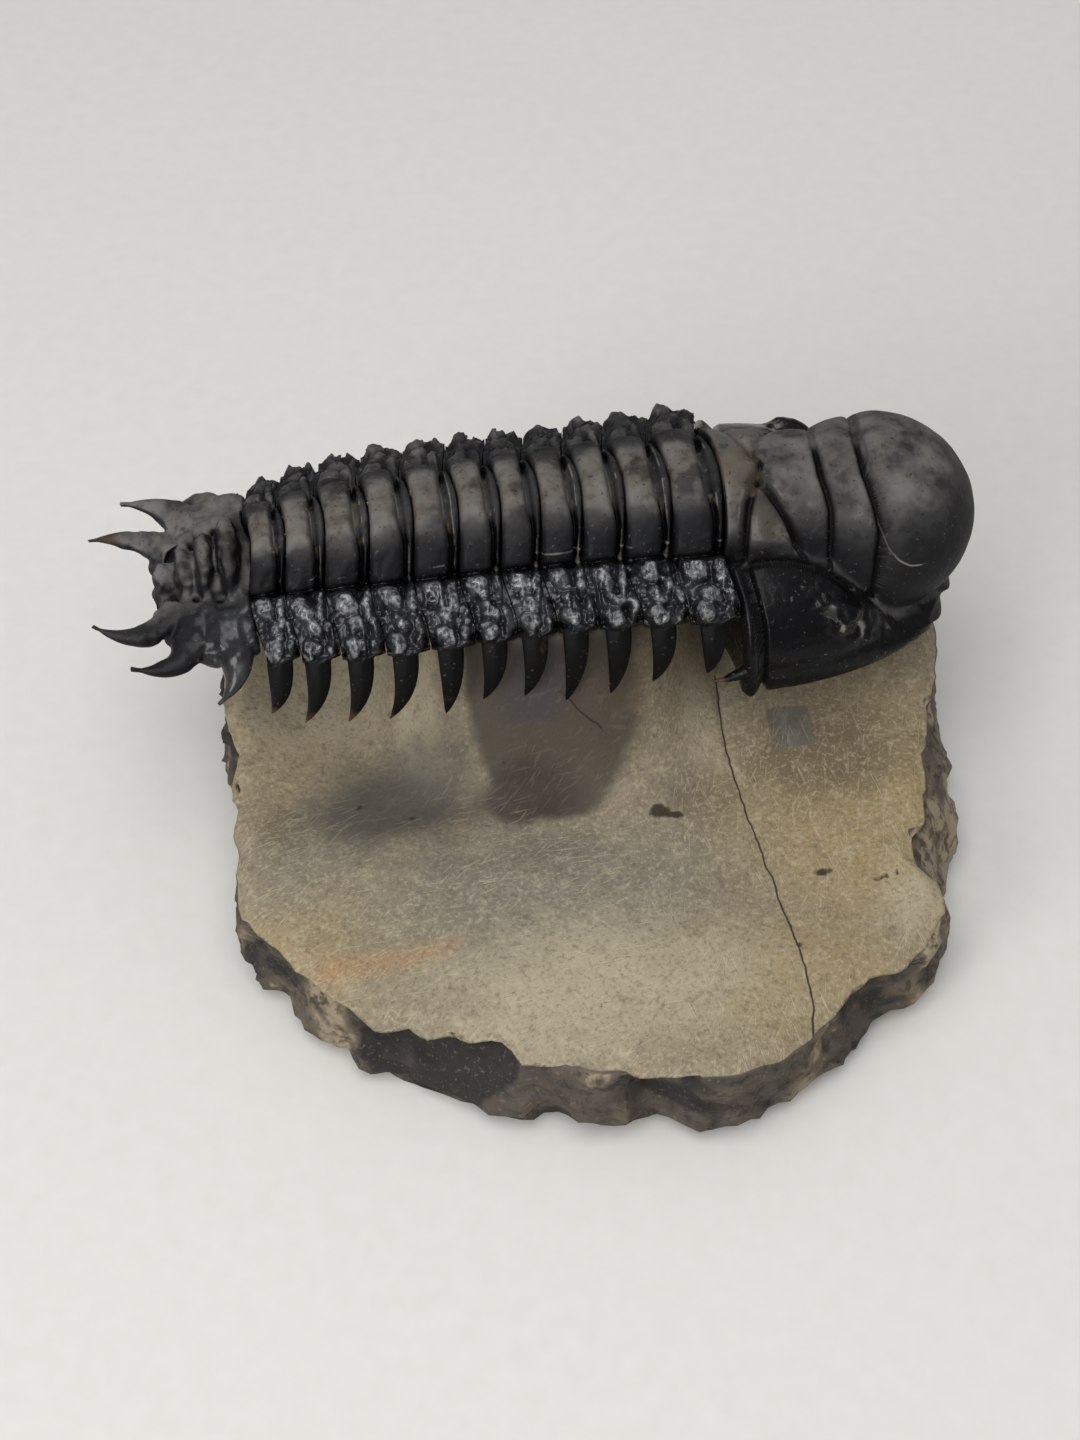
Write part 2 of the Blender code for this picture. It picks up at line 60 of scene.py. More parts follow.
# Thorax
SEAM = 0.1  # the gap between two plates
THORAX_FRONT = 14.5
SEGMENT_LENGTHS = (4.6, 4.1, 3.8, 3.7, 3.5, 3.7, 4, 3.9, 3.9, 3.5, 3.1)
THORAX_BACK = THORAX_FRONT - sum(SEGMENT_LENGTHS)
RING_HALF_WIDTH = ((-28, 4.6), (-26, 5), (-19, 5.8), (0, 6.4), (11, 7), (15, 7.5))
RING_HEIGHT = ((-28, 2.9), (-22, 3.5), (-10, 4), (15, 4.1))
PLEURA_EDGE = ((-28, 9.6), (-26, 10.4), (-20, 11.6), (0, 11.9), (13, 12.8))
PLEURA_DROP = ((-28, 2.4), (-20, 2.2), (0, 1.9), (13, 1.9))
SPINE_DROP = (7.9, 8.7, 10.2, 10.8, 9.4, 9, 10.2, 9.9, 9.8, 9.5, 8.2)
SPINE_SWEEP = (0.4, 0.8, 0.6, 0.8, 0.9, 1, 0.6, 1.5, 1.3, 1.4, 1)
SPINE_SPLAY = 1.3
SPINE_HALF_WIDTH = 1.15
SPINE_THICKNESS = 1.35
BELLY = -3.4
RING_BOW = 0.6
PLEURA_LEAD = 0.8
PLEURA_SPAN = 5.4

# Height across one segment from its back edge (-1) to its front edge (1): ring, furrow, half ring
RING_PROFILE = (
    (-1, -1.3), (-0.96, -0.6), (-0.9, -0.26), (-0.78, -0.06), (-0.55, 0.05), (-0.3, 0.08), (-0.08, 0.02),
    (0.1, -0.16), (0.2, -0.5), (0.3, -1.2), (0.38, -1.6), (0.52, -1.6), (0.62, -1.05), (0.7, -0.82),
    (0.8, -0.76), (0.88, -0.84), (0.95, -1.05), (1, -1.6),
)
# Knobs of the inner pleura: place across, place outwards, reach across, reach outwards, height, slant
KNOBS = (
    (-0.25, 0.22, 0.6, 0.25, 1.05, 0.25),
    (0.6, 0.3, 0.3, 0.34, 0.8, -0.7),
    (-0.1, 0.6, 0.48, 0.2, 0.8, 0.4),
    (0.72, 0.66, 0.27, 0.19, 0.6, 0),
    (-0.35, 0.87, 0.55, 0.18, 1.05, 0),
    (0.62, 0.9, 0.3, 0.13, 0.6, 0),
)
KNOB_FLOOR = -0.5
# How rusty each spine's tip is, and how worn and crumpled each segment is
SPINE_RUST = (0, 0, 0, 0, 0, 0, 0.35, 0.6, 0.8, 0.9, 0.8)
RUGGED = (0.3, 0.15, 0.15, 0.2, 0.25, 0.3, 0.4, 0.6, 0.8, 0.9, 1)
# Rows of points from the midline out: over the ring, the inner pleura, the spine's root and the spine
RING_ROWS = 58
PLEURA_ROWS = 62
ROOT_ROWS = 12
SPINE_ROWS = 34
ROOT_END = 2.12
POINTS_ABOVE = 44
POINTS_BELOW = 6
# Grains of calcite stuck on the shell. The real ones are finer, and these are as coarse as they need to show.
GRAIN_SIZE = 0.17
GRAINS_PER_SQUARE_METRE = 0.9e6

# Head shield
HEAD_CENTRE = (23, 0, -6.5)
HEAD_RING = 7.3
HEAD_REACH = 26.0
FRONT_LOBE = (29.7, 0, -4.6)
FRONT_LOBE_RADII = (9.5, 9.3, 9.1)
GLABELLA_HALF_WIDTH = ((12, 7.6), (16, 7.4), (20.5, 7.1), (25.5, 7.9), (29, 9.2))
GLABELLA_CREST = ((12, 4), (17, 4.1), (21, 3.8), (25.5, 4.1), (29, 4.2))
GLABELLA_ROOT = ((12, -0.6), (17, -0.9), (21, -2), (25.5, -4.6), (29, -4.9))
GLABELLA_FURROWS = (
    (((27.8, 0), (27.8, 2.2), (28.4, 5.2), (28.7, 6.8), (28.2, 8.5), (26.9, 9), (24.6, 8.2)), 1.2, 0.36),
    (((23.9, 0), (23.9, 1.9), (24.4, 4.6), (24.2, 7.6)), 0.8, 0.32),
    (((18.8, 0), (18.2, 1.4), (19.5, 3.8), (21, 6), (22.3, 7.6)), 1.1, 0.36),
    (((18.2, 1.4), (17, 4.2), (16.4, 6.6), (16.3, 8)), 1.2, 0.4),
)
AXIAL_FURROW = ((15, 7.3), (18.6, 7.2), (21.2, 7.3), (24, 7.9), (25.8, 8.9))
CHEEK_CENTRE = (16, 0, -10.9)
CHEEK_REACH = (22.3, 14.6)
CHEEK_HEIGHT = ((12, 10.6), (22, 10.6), (26, 9.2), (30, 5.2), (33.5, 2.9), (36, 1.2), (39.5, 0.6))
CHEEK_SQUARENESS = 2.2
HEAD_BELLY = -10.9
EYE = (24.2, 10.8, -5.4)
EYE_RADII = (2.4, 1.5, 1.5)
# The crumpled ridge through the eye, and a fine crack of the front lobe, as x and z on the flank
EYE_RIDGE = ((22.6, -3.4), (25.5, -6), (28.6, -8.2), (32.7, -9.2), (35.5, -9.6))
LOBE_CRACK = ((28.6, 0.6), (29.2, -0.5), (30.1, -1.4), (31.2, -2.1), (32.2, -2.3))
GENAL_SPINE = ((16.4, 13.7, -8), (14.6, 14.5, -8.6), (12.6, 14.3, -8.8))
GENAL_SPINE_RADIUS = 0.75
# Points round each loop of the head, how many loops, and the share of the points over its upper half
HEAD_POINTS = (400, 215, 0.78)

# Tail shield
TAIL_CENTRE = (-29.6, 0, -1.9)
TAIL_REACH = 12.0
TAIL_PLATE = (-29.2, 0, -2.8)
TAIL_PLATE_RADII = (7.3, 9.6, 3)
TAIL_RINGS = ((-28.9, 4.2, 2.5), (-31, 3.5, 1.8), (-33, 2.7, 1), (-34.8, 1.9, 0.2))
TAIL_BELLY = -3.6
TAIL_SPINES = (
    ((-29.4, 6, -1.8), (-27.9, 11.3, -2.6), (-31, 12.2, -4.7), 1.9),
    ((-32, 5, -1.7), (-33.2, 10.3, -2.9), (-38.2, 9.5, -0.7), 1.9),
    ((-33.5, 3, -1.6), (-37, 7, -2.3), (-41.2, 4.9, 0.4), 1.6),
)
TAIL_POINTS = (200, 100, 0.7)  # as for the head
TAIL_GRAIN_SIZE = 0.15
TAIL_GRAINS_PER_SQUARE_METRE = 0.6e6
TAIL_SKIN = 0.15  # side of the cells that join the tail's parts in one skin
# The first spine of the far side lies flatter, as root, elbow and tip
FAR_TAIL_SPINE = ((-30.2, 6, -2), (-29.9, 10.2, -2.4), (-33.2, 10, -2.9))

# Limestone block
OUTLINE = (
    (-28.5, 12.5), (-31.4, 4), (-30.6, -8), (-31.2, -19), (-31.9, -24.2), (-28.4, -29.4), (-23.6, -35.2),
    (-17.8, -41), (-11, -43.6), (-7.5, -44.3), (-1, -45.5), (4, -46.7), (10, -47.2), (14, -45.8),
    (17.2, -43.8), (22.7, -40.8), (28, -36.8), (31.8, -32.1), (33.2, -28), (35.6, -22), (36.3, -14),
    (39, -4), (38.8, 5), (35, 12.5), (24, 16.6), (8, 17.9), (-10, 17.6), (-22, 16.4),
)
# The edge of the carved top, in plan
EDGE = (
    (-30.6, 4), (-30.9, 0.3), (-30.3, -8.4), (-31, -14.7), (-31.1, -21.2), (-31.4, -26), (-30.2, -28.7),
    (-28.5, -30), (-26.5, -32.1), (-24.8, -35.2), (-23.3, -38.2), (-21.4, -37.9), (-17.8, -37.8),
    (-16.2, -39.1), (-13.4, -39.6), (-10.6, -40.2), (-9.5, -41.2), (-8.9, -42.7), (-6.7, -43.1),
    (-3.6, -43.4), (-0.7, -44.1), (1.1, -45.8), (3.5, -47), (4.9, -47), (7.6, -46.4), (11.6, -46.6),
    (14.1, -46.6), (15.5, -45.6), (16.5, -43.7), (18.4, -42.1), (20.4, -40.4), (22.9, -38.9), (26.7, -38.2),
    (28.9, -36.9), (30.5, -34.9), (31.3, -33.3), (31, -31.5), (29.5, -30.1), (28.9, -28.4), (29.3, -25.4),
    (30.9, -23.2), (31.9, -20), (32.2, -16.2), (34.5, -10.8), (36.7, -5.5), (36.8, 3), (33.2, 11.3),
    (22.5, 15.2), (8, 16.8), (-10, 16.6), (-21.5, 15.3), (-27.7, 11.6),
)
FLOOR = 10.4
WAIST_HEIGHT = 4.2
FOOT_SHARE = 0.945
GAP = 0.3
PILLAR_CENTRE = (-1.6, 0)
PILLAR_TOP = (11.4, 10.9)
PILLAR_FLARE = 7.5
PILLAR_SQUARENESS = 3.0
# Points round the stone, and rows over the pillar, its flare, the floor and the broken side
MERIDIANS = 430
PILLAR_ROWS = 16
FLARE_ROWS = 62
FLOOR_ROWS = 90
SIDE_ROWS = 52
# Chips and crumbs broken from the side
CHIP_SIZE = 5.0
CHIP_DEPTH = 0.9
CRUMB_SIZE = 1.6
CRUMB_DEPTH = 0.4
# The long crack across the carved floor, in plan, and the short one on the pillar, as x and height
FLOOR_CRACK = (
    (15.1, -5.1), (14.9, -12.5), (15.5, -20.9), (16.2, -27.9), (17, -34.8), (16.9, -39.3), (16.2, -44),
)
PILLAR_CRACK = ((-0.4, 20), (0.6, 18.6), (2.8, 15.9))
RUST_STREAK = ((-23.9, -31.8), (-17.8, -31.7), (-12.9, -30.7))
INCLUSION = (21.2, -10.9)
# Dark spots of the floor: place, reach along, reach across
SPOTS = (
    ((7.6, -18.2), 1.1, 0.85), ((8.9, -18.7), 0.75, 0.45), ((20.7, -27.2), 0.95, 0.5),
    ((24.4, -27.8), 0.35, 0.25), ((25.6, -28.9), 0.9, 0.35), ((26.9, -28.7), 0.6, 0.2),
    ((-15.1, -16.6), 0.45, 0.3), ((-19.7, -14.6), 0.6, 0.3), ((-0.9, -38.5), 0.45, 0.3),
    ((0.9, -35.7), 0.25, 0.45), ((17.1, -34.7), 0.5, 0.45), ((-6.2, -13.5), 0.18, 0.3),
)
# Soft patches of colour on the carved stone, with painted shadow under the animal and painted light on the
# pillar's flanks and under the tail: mark, place, reach along, reach across, strength
PATCHES = (
    ("smoke", (-16.5, -14.5), 10, 6.5, 1), ("smoke", (9, -15), 6, 4, 0.45),
    ("smoke", (-5, -21.5), 9, 3, 0.4), ("smoke", (-23, -12), 7, 4, 0.3),
    ("mauve", (-14.5, -21.5), 6, 3, 0.5), ("red", (-4.6, -15.9), 6.2, 2.8, 1),
    ("light", (-13.6, -8.5), 2, 5, 1.1), ("light", (12.6, -8), 2.4, 6, 0.6),
    ("light", (0, -36), 17, 8, 0.75), ("light", (29, -31.5), 7, 5, 0.5), ("sand", (27, -22), 14, 15, 0.9),
    ("sand", (15, -38), 15, 9, 0.7), ("sand", (-27, -30), 9, 8, 0.7), ("sand", (-26, 2), 9, 16, 0.8),
    ("brown", (24, -14.5), 10, 6, 0.9), ("light", (-24, -1), 9, 7, 1), ("brown", (13, -17), 5, 5, 0.6),
    ("brown", (-27, -15), 6, 5, 0.5), ("grey", (-4, -27), 18, 10, 0.75), ("grey", (-24, -20), 8, 8, 0.5),
    ("brown", (0, 14), 30, 7, 0.3),
)
# Hollows broken out of the rim, and bosses where the depth is negative: place, half width, depth, darkness.
# The darkness paints shade into a hollow, a little less towards its foot, and lightens the stone where
# negative.
SCOOPS = (
    ((-17, -40.5), 8.2, 3.4, 1.5), ((-6.5, -45), 3, 0.9, 0.1), ((-2.4, -45.5), 4.2, -0.8, -0.6),
    ((3.2, -47.5), 3, 2, 0.8), ((9.5, -47), 5, -0.4, 0.3), ((15.5, -46), 2.6, -0.3, -0.8),
    ((24.5, -40.5), 4.4, 2, 0.6), ((-28.5, -30), 4, 1.3, 0.3), ((-25, -36), 3, 0.8, -0.4),
    ((34.5, -24), 6, 1.2, -0.3), ((38, -4), 9, 1.5, 0.2), ((-31.5, -12), 8, 1.2, 0.2),
    ((-31, 6), 8, 1.2, 0.3), ((20, 17), 9, 1.6, 0.4), ((-5, 18), 10, 1.6, 0.3), ((-22, 16.5), 8, 1.4, 0.3),
)

# Cracks and tool marks of the materials
LINE_CORE = 0.04  # half the width over which a thin line is at its darkest
SCRATCH_LENGTH = 1.5
SCRATCH_WIDTH = 0.13
CALCITE_IOR = 1.6

# The photograph's camera: picture and focal length in pixels, distance in millimetres
PHOTO = (1080, 1440)
BODY_IN_PHOTO = (550, 512)
FOCAL = 2500.0
CAMERA_DISTANCE = 223.0
CAMERA_TURN = math.radians(-8.3)
CAMERA_PITCH = math.radians(50.0)
SENSOR = 36.0

# Soft lights: name, place and aim in metres, size, power
LIGHTS = (
    ("overhead", (-0.08, -0.2, 0.58), (0, 0, 0.02), 0.5, 2.25),
    ("window", (-0.42, -0.36, 0.26), (0, 0, 0.02), 0.25, 1.5),
)
FLOOR_REACH = 1.5


def ease(value, low, high):
    """0 up to low, 1 from high, and a smooth step between."""
    t = np.clip((value - low) / (high - low), 0.0, 1.0)
    return t * t * (3 - 2 * t)


def bump(value, centre, reach):
    """1 at a centre, fading smoothly within about a reach either side."""
    return np.exp(-(((value - centre) / reach) ** 2))


def curve(points, at):
    """A smooth curve through a few (place, value) points."""
    place, value = np.array(points, float).T
    slope = np.gradient(value, place)
    at = np.clip(at, place[0], place[-1])
    i = np.clip(np.searchsorted(place, at) - 1, 0, len(place) - 2)
    span = place[i + 1] - place[i]
    t = (at - place[i]) / span
    start = (2 * t**3 - 3 * t**2 + 1) * value[i] + (t**3 - 2 * t**2 + t) * span * slope[i]
    end = (3 * t**2 - 2 * t**3) * value[i + 1] + (t**3 - t**2) * span * slope[i + 1]
    return start + end


def bezier(root, elbow, tip, t):
    """Points along a bend from root to tip, pulled towards the elbow."""
    t = np.asarray(t, float)[..., None]
    return (1 - t) ** 2 * np.array(root) + 2 * t * (1 - t) * np.array(elbow) + t**2 * np.array(tip)


def distance_to_line(x, y, points):
    """Distance in plan from each (x, y) to a line through a few points, and the side it lies on (-1 or 1)."""
    nearest = np.full(np.shape(x), 1e9)
    side = np.ones(np.shape(x))
    for (x0, y0), (x1, y1) in zip(points, points[1:]):
        dx, dy = x1 - x0, y1 - y0
        t = np.clip(((x - x0) * dx + (y - y0) * dy) / (dx * dx + dy * dy), 0, 1)
        away = np.hypot(x - x0 - t * dx, y - y0 - t * dy)
        side = np.where(away < nearest, np.sign((x - x0) * dy - (y - y0) * dx + 1e-9), side)
        nearest = np.minimum(nearest, away)
    return nearest, side


def lumps(points, size, seed):
    """Smooth random heights from -1 to 1 in space, with lumps about a size across."""
    lattice = np.random.default_rng(seed).uniform(-1, 1, (32, 32, 32))
    at = np.asarray(points, float) / size
    low = np.floor(at).astype(int)
    t = at - low
    t = t * t * (3 - 2 * t)
    total = 0
    for corner in np.ndindex(2, 2, 2):
        share = np.prod(np.where(corner, t, 1 - t), axis=-1)
        i, j, k = np.moveaxis((low + corner) % 32, -1, 0)
        total = total + share * lattice[i, j, k]
    return total


def to_row(points):
    """Points of the body frame, in millimetres, as points of the row frame in metres."""
    x, y, z = np.moveaxis(np.array(points, float), -1, 0)
    z = z + curve(DROOP, x)
    y, z = y * math.cos(ROLL) - z * math.sin(ROLL), z * math.cos(ROLL) + y * math.sin(ROLL)
    return (np.stack([x, y, z], -1) + (BODY_X, BODY_Y, BODY_Z)) * MM


def from_row(points):
    """The way back: points of the row frame, in metres, as points of the body frame in millimetres."""
    x, y, z = np.moveaxis(np.array(points, float) / MM - (BODY_X, BODY_Y, BODY_Z), -1, 0)
    y, z = y * math.cos(ROLL) + z * math.sin(ROLL), z * math.cos(ROLL) - y * math.sin(ROLL)
    return np.stack([x, y, z - curve(DROOP, x)], -1)


# Meshes


def closed_mesh(name, loops, marks=None):
    """A closed mesh through loops of points, with a fan of triangles over the first and the last."""
    count, around, _ = loops.shape
    points = np.concatenate([loops.reshape(-1, 3), loops[[0, -1]].mean(1)])
    i, j = np.meshgrid(np.arange(count - 1), np.arange(around), indexing="ij")
    a, b = i * around + j, i * around + (j + 1) % around
    faces = np.stack([a, b, b + around, a + around], -1).reshape(-1, 4).tolist()
    one = np.arange(around)
    two = (one + 1) % around
    last = (count - 1) * around
    faces += np.stack([two, one, np.full(around, count * around)], -1).tolist()
    faces += np.stack([last + one, last + two, np.full(around, count * around + 1)], -1).tolist()
    mesh = bpy.data.meshes.new(name)
    mesh.from_pydata(points.tolist(), [], faces)
    shape = bmesh.new()
    shape.from_mesh(mesh)
    bmesh.ops.recalc_face_normals(shape, faces=shape.faces)
    shape.to_mesh(mesh)
    shape.free()
    spread = {mark: np.broadcast_to(values, (count, around)) for mark, values in (marks or {}).items()}
    keep_marks(mesh, {mark: np.concatenate([values.ravel(), values[[0, -1]].mean(1)])
                      for mark, values in spread.items()})
    return mesh


def keep_marks(mesh, marks):
    """Keeps numbers on a mesh's points, by name, for the materials."""
    for mark, values in marks.items():
        attribute = mesh.attributes.new(mark, "FLOAT", "POINT")
        attribute.data.foreach_set("value", np.asarray(values, np.float32))


def points_of(mesh):
    """A mesh's points and their outward directions."""
    places = np.zeros(len(mesh.vertices) * 3, np.float32)
    mesh.vertices.foreach_get("co", places)
    ways = np.zeros(len(mesh.vertices) * 3, np.float32)
    mesh.vertex_normals.foreach_get("vector", ways)
    return places.reshape(-1, 3).astype(float), ways.reshape(-1, 3).astype(float)


def new_object(name, data):
    """An object of the scene for a mesh, a lamp or a camera."""
    made = bpy.data.objects.new(name, data)
    bpy.context.scene.collection.objects.link(made)
    return made


def evaluated(name, mesh, add_modifiers):
    """The plain mesh that a mesh becomes under the modifiers that add_modifiers puts on its object."""
    holder = new_object(name, mesh)
    add_modifiers(holder)
    graph = bpy.context.evaluated_depsgraph_get()
    result = bpy.data.meshes.new_from_object(holder.evaluated_get(graph))
    bpy.data.objects.remove(holder)
    return result


def fused(name, meshes):
    """Several meshes as one, with no change to their points."""
    whole = bmesh.new()
    for mesh in meshes:
        whole.from_mesh(mesh)
    result = bpy.data.meshes.new(name)
    whole.to_mesh(result)
    whole.free()
    return result


def make_piece(name, mesh, look):
    """The finished piece that stands for the CAD node of its name."""
    mesh.materials.clear()
    mesh.materials.append(look)
    mesh.shade_smooth()
    piece = new_object(f"{name}_dressed", mesh)
    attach(piece, "root")
    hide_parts(name)


# Nodes

MATH = "ShaderNodeMath"
VECTOR = "ShaderNodeVectorMath"
RANGE = "ShaderNodeMapRange"
MIX = "ShaderNodeMix"
NOISE = "ShaderNodeTexNoise"
MARK = "ShaderNodeAttribute"
SURFACE_MARK = "GeometryNodeInputNamedAttribute"


def feed(node, inputs):
    """Sets or links a node's inputs."""
    for name, value in inputs.items():
        if isinstance(value, bpy.types.NodeSocket):
            node.id_data.links.new(value, node.inputs[name])
        else:
            node.inputs[name].default_value = value


def add_node(tree, kind, inputs=None, **settings):
    """Adds a node to a tree with its settings, and sets or links its inputs."""
    made = tree.nodes.new(kind)
    for name, value in settings.items():
        setattr(made, name, value)
    feed(made, inputs or {})
    return made


def linear(colour):
    """An sRGB hex colour as linear red, green, blue and alpha."""
    parts = [int(colour[i:i + 2], 16) / 255 for i in (1, 3, 5)]
    return (*[p / 12.92 if p <= 0.04045 else ((p + 0.055) / 1.055) ** 2.4 for p in parts], 1.0)


def new_tree(name, numbers):
    """A tree of geometry nodes over a surface with named inputs, how to add to it, and its inputs."""
    tree = bpy.data.node_groups.new(name, "GeometryNodeTree")
    for label, kind in {"Surface": "Geometry", **numbers}.items():
        tree.interface.new_socket(name=label, in_out="INPUT", socket_type=f"NodeSocket{kind}")
    tree.interface.new_socket(name="Surface", in_out="OUTPUT", socket_type="NodeSocketGeometry")
    add = partial(add_node, tree)
    return tree, add, add("NodeGroupInput").outputs


def grain_tree(name, look):
    """Geometry nodes that set small rounded grains on a surface where its mark "grain" is high."""
    numbers = {"Grain size": "Float", "Grains per square metre": "Float", "Seed": "Int"}
    tree, add, given = new_tree(name, numbers)
    where = add(SURFACE_MARK, {"Name": "grain"}, data_type="FLOAT").outputs[0]
    crowd = add(MATH, {0: where, 1: given["Grains per square metre"]}, operation="MULTIPLY").outputs[0]
    spread = add("GeometryNodeDistributePointsOnFaces",
                 {"Mesh": given["Surface"], "Density": crowd, "Seed": given["Seed"]}).outputs
    grain = add("GeometryNodeMeshIcoSphere", {"Radius": given["Grain size"], "Subdivisions": 1}).outputs[0]
    smooth = add("GeometryNodeSetShadeSmooth", {"Geometry": grain}).outputs[0]
    size = add("FunctionNodeRandomValue", {2: 0.35, 3: 1.0, "Seed": given["Seed"]}, data_type="FLOAT")
    placed = add("GeometryNodeInstanceOnPoints",
                 {"Points": spread["Points"], "Instance": smooth, "Rotation": spread["Rotation"],
                  "Scale": size.outputs[1]}).outputs[0]
    real = add("GeometryNodeRealizeInstances", {"Geometry": placed}).outputs[0]
    whole = add("GeometryNodeJoinGeometry", {"Geometry": given["Surface"]})
    tree.links.new(real, whole.inputs[0])
    dressed = add("GeometryNodeSetMaterial", {"Geometry": whole.outputs[0], "Material": look}).outputs[0]
    add("NodeGroupOutput", {"Surface": dressed})
    return tree


def broken_rock_tree(name, look):
    """Geometry nodes that break a surface into hollow chips where its mark "broken" is high."""
    labels = ("Chip size", "Chip depth", "Crumb size", "Crumb depth", "Seed")
    tree, add, given = new_tree(name, dict.fromkeys(labels, "Float"))
    # The chips' edges wander by a few millimetres
    place = add("GeometryNodeInputPosition").outputs[0]
    warp = add(NOISE, {"Vector": place, "Scale": 260.0, "Detail": 2.0}).outputs["Color"]
    bent = add(VECTOR, {0: warp, 1: (0.004, 0.004, 0.004), 2: place}, operation="MULTIPLY_ADD").outputs[0]
    total = 0.0
    for part in ("Chip", "Crumb"):
        fine = add(MATH, {0: 1.0, 1: given[f"{part} size"]}, operation="DIVIDE").outputs[0]
        cell = add("ShaderNodeTexVoronoi", {"Vector": bent, "W": given["Seed"], "Scale": fine},
                   voronoi_dimensions="4D").outputs
        # Each chip leans its own way and is hollow round its heart
        tilt = add(VECTOR, {0: cell["Color"], 1: (0.5, 0.5, 0.5)}, operation="SUBTRACT").outputs[0]
        from_heart = add(VECTOR, {0: bent, 1: cell["Position"]}, operation="SUBTRACT").outputs[0]
        apart = add(VECTOR, {0: from_heart, "Scale": fine}, operation="SCALE").outputs[0]
        slope = add(VECTOR, {0: tilt, 1: apart}, operation="DOT_PRODUCT").outputs["Value"]
        hollow = add(MATH, {0: cell["Distance"], 1: 0.5}, operation="MULTIPLY").outputs[0]
        height = add(MATH, {0: slope, 1: 1.6, 2: hollow}, operation="MULTIPLY_ADD").outputs[0]
        lower = add(MATH, {0: height, 1: 0.35}, operation="SUBTRACT").outputs[0]
        depth = given[f"{part} depth"]
        total = add(MATH, {0: lower, 1: depth, 2: total}, operation="MULTIPLY_ADD").outputs[0]
    where = add(SURFACE_MARK, {"Name": "broken"}, data_type="FLOAT").outputs[0]
    kept = add(MATH, {0: total, 1: where}, operation="MULTIPLY").outputs[0]
    outward = add("GeometryNodeInputNormal").outputs[0]
    shift = add(VECTOR, {0: outward, "Scale": kept}, operation="SCALE").outputs[0]
    moved = add("GeometryNodeSetPosition", {"Geometry": given["Surface"], "Offset": shift}).outputs[0]
    dressed = add("GeometryNodeSetMaterial", {"Geometry": moved, "Material": look}).outputs[0]
    add("NodeGroupOutput", {"Surface": dressed})
    return tree


def grown_by(name, mesh, tree, **values):
    """The mesh after a tree of geometry nodes, with its inputs by name (underscores for spaces)."""
    def add_modifiers(holder):
        modifier = holder.modifiers.new("nodes", "NODES")
        modifier.node_group = tree
        for item in tree.interface.items_tree:
            key = item.name.replace(" ", "_")
            if item.in_out == "INPUT" and key in values:
                modifier[item.identifier] = values[key]
    return evaluated(name, mesh, add_modifiers)


# Materials


def new_look(name):
    """A new material, how to add nodes to it, its shader and the places that it reads patterns from."""
    look = bpy.data.materials.new(name)
    look.use_nodes = True
    add = partial(add_node, look.node_tree)
    return look, add, look.node_tree.nodes["Principled BSDF"], add("ShaderNodeTexCoord").outputs["Object"]


def patterns(add, place, sizes):
    """Noise patterns by name, each with patches about its size in millimetres across."""
    return {name: add(NOISE, {"Vector": place, "Scale": 0.5 / (size * MM), "Detail": detail,
                              "Roughness": roughness}).outputs["Fac"]
            for name, (size, detail, roughness) in sizes.items()}


def layered(add, base, layers, textures):
    """A colour under layers of others.

    A layer has a mark and a pattern with its share, the sums where it begins and is whole, how much it
    covers, and its colour.
    """
    for mark, texture, share, low, high, cover, colour in layers:
        held = add(MARK, attribute_name=mark).outputs["Fac"] if mark else 0.0
        worn = add(MATH, {0: textures[texture], 1: share, 2: held}, operation="MULTIPLY_ADD").outputs[0]
        mask = add(RANGE, {0: worn, 1: low, 2: high, 4: cover}, interpolation_type="SMOOTHSTEP").outputs[0]
        base = add(MIX, {0: mask, 6: base, 7: linear(colour)}, data_type="RGBA").outputs[2]
    return base


def thin_line(add, base, distance, mark, half_width, colour):
    """A colour with a thin line where a signed distance passes zero and a mark is high, and its mask."""
    near = add(MARK, attribute_name=mark).outputs["Fac"]
    away = add(MATH, {0: distance}, operation="ABSOLUTE").outputs[0]
    thin = add(RANGE, {0: away, 1: half_width, 2: LINE_CORE}).outputs[0]
    line = add(MATH, {0: thin, 1: near}, operation="MULTIPLY").outputs[0]
    return add(MIX, {0: line, 6: base, 7: linear(colour)}, data_type="RGBA").outputs[2], line


def scratches(add, place, turns, seed):
    """Straight scratches in several directions, as one mask from 0 to 1."""
    size = (SCRATCH_LENGTH * MM, SCRATCH_WIDTH * MM, 4 * SCRATCH_WIDTH * MM)
    total = 0.0
    for number, turn in enumerate(turns):
        turned = add("ShaderNodeMapping",
                     {"Vector": place, "Location": ((seed + number) * MM, 0.0, 0.0),
                      "Rotation": (0.0, 0.0, math.radians(turn)), "Scale": size},
                     vector_type="TEXTURE").outputs[0]
        line = add(NOISE, {"Vector": turned, "Scale": 0.5, "Detail": 1.0}).outputs["Fac"]
        cut = add(RANGE, {0: line, 1: 0.62, 2: 0.72}).outputs[0]
        total = add(MATH, {0: total, 1: cut}, operation="MAXIMUM").outputs[0]
    return total


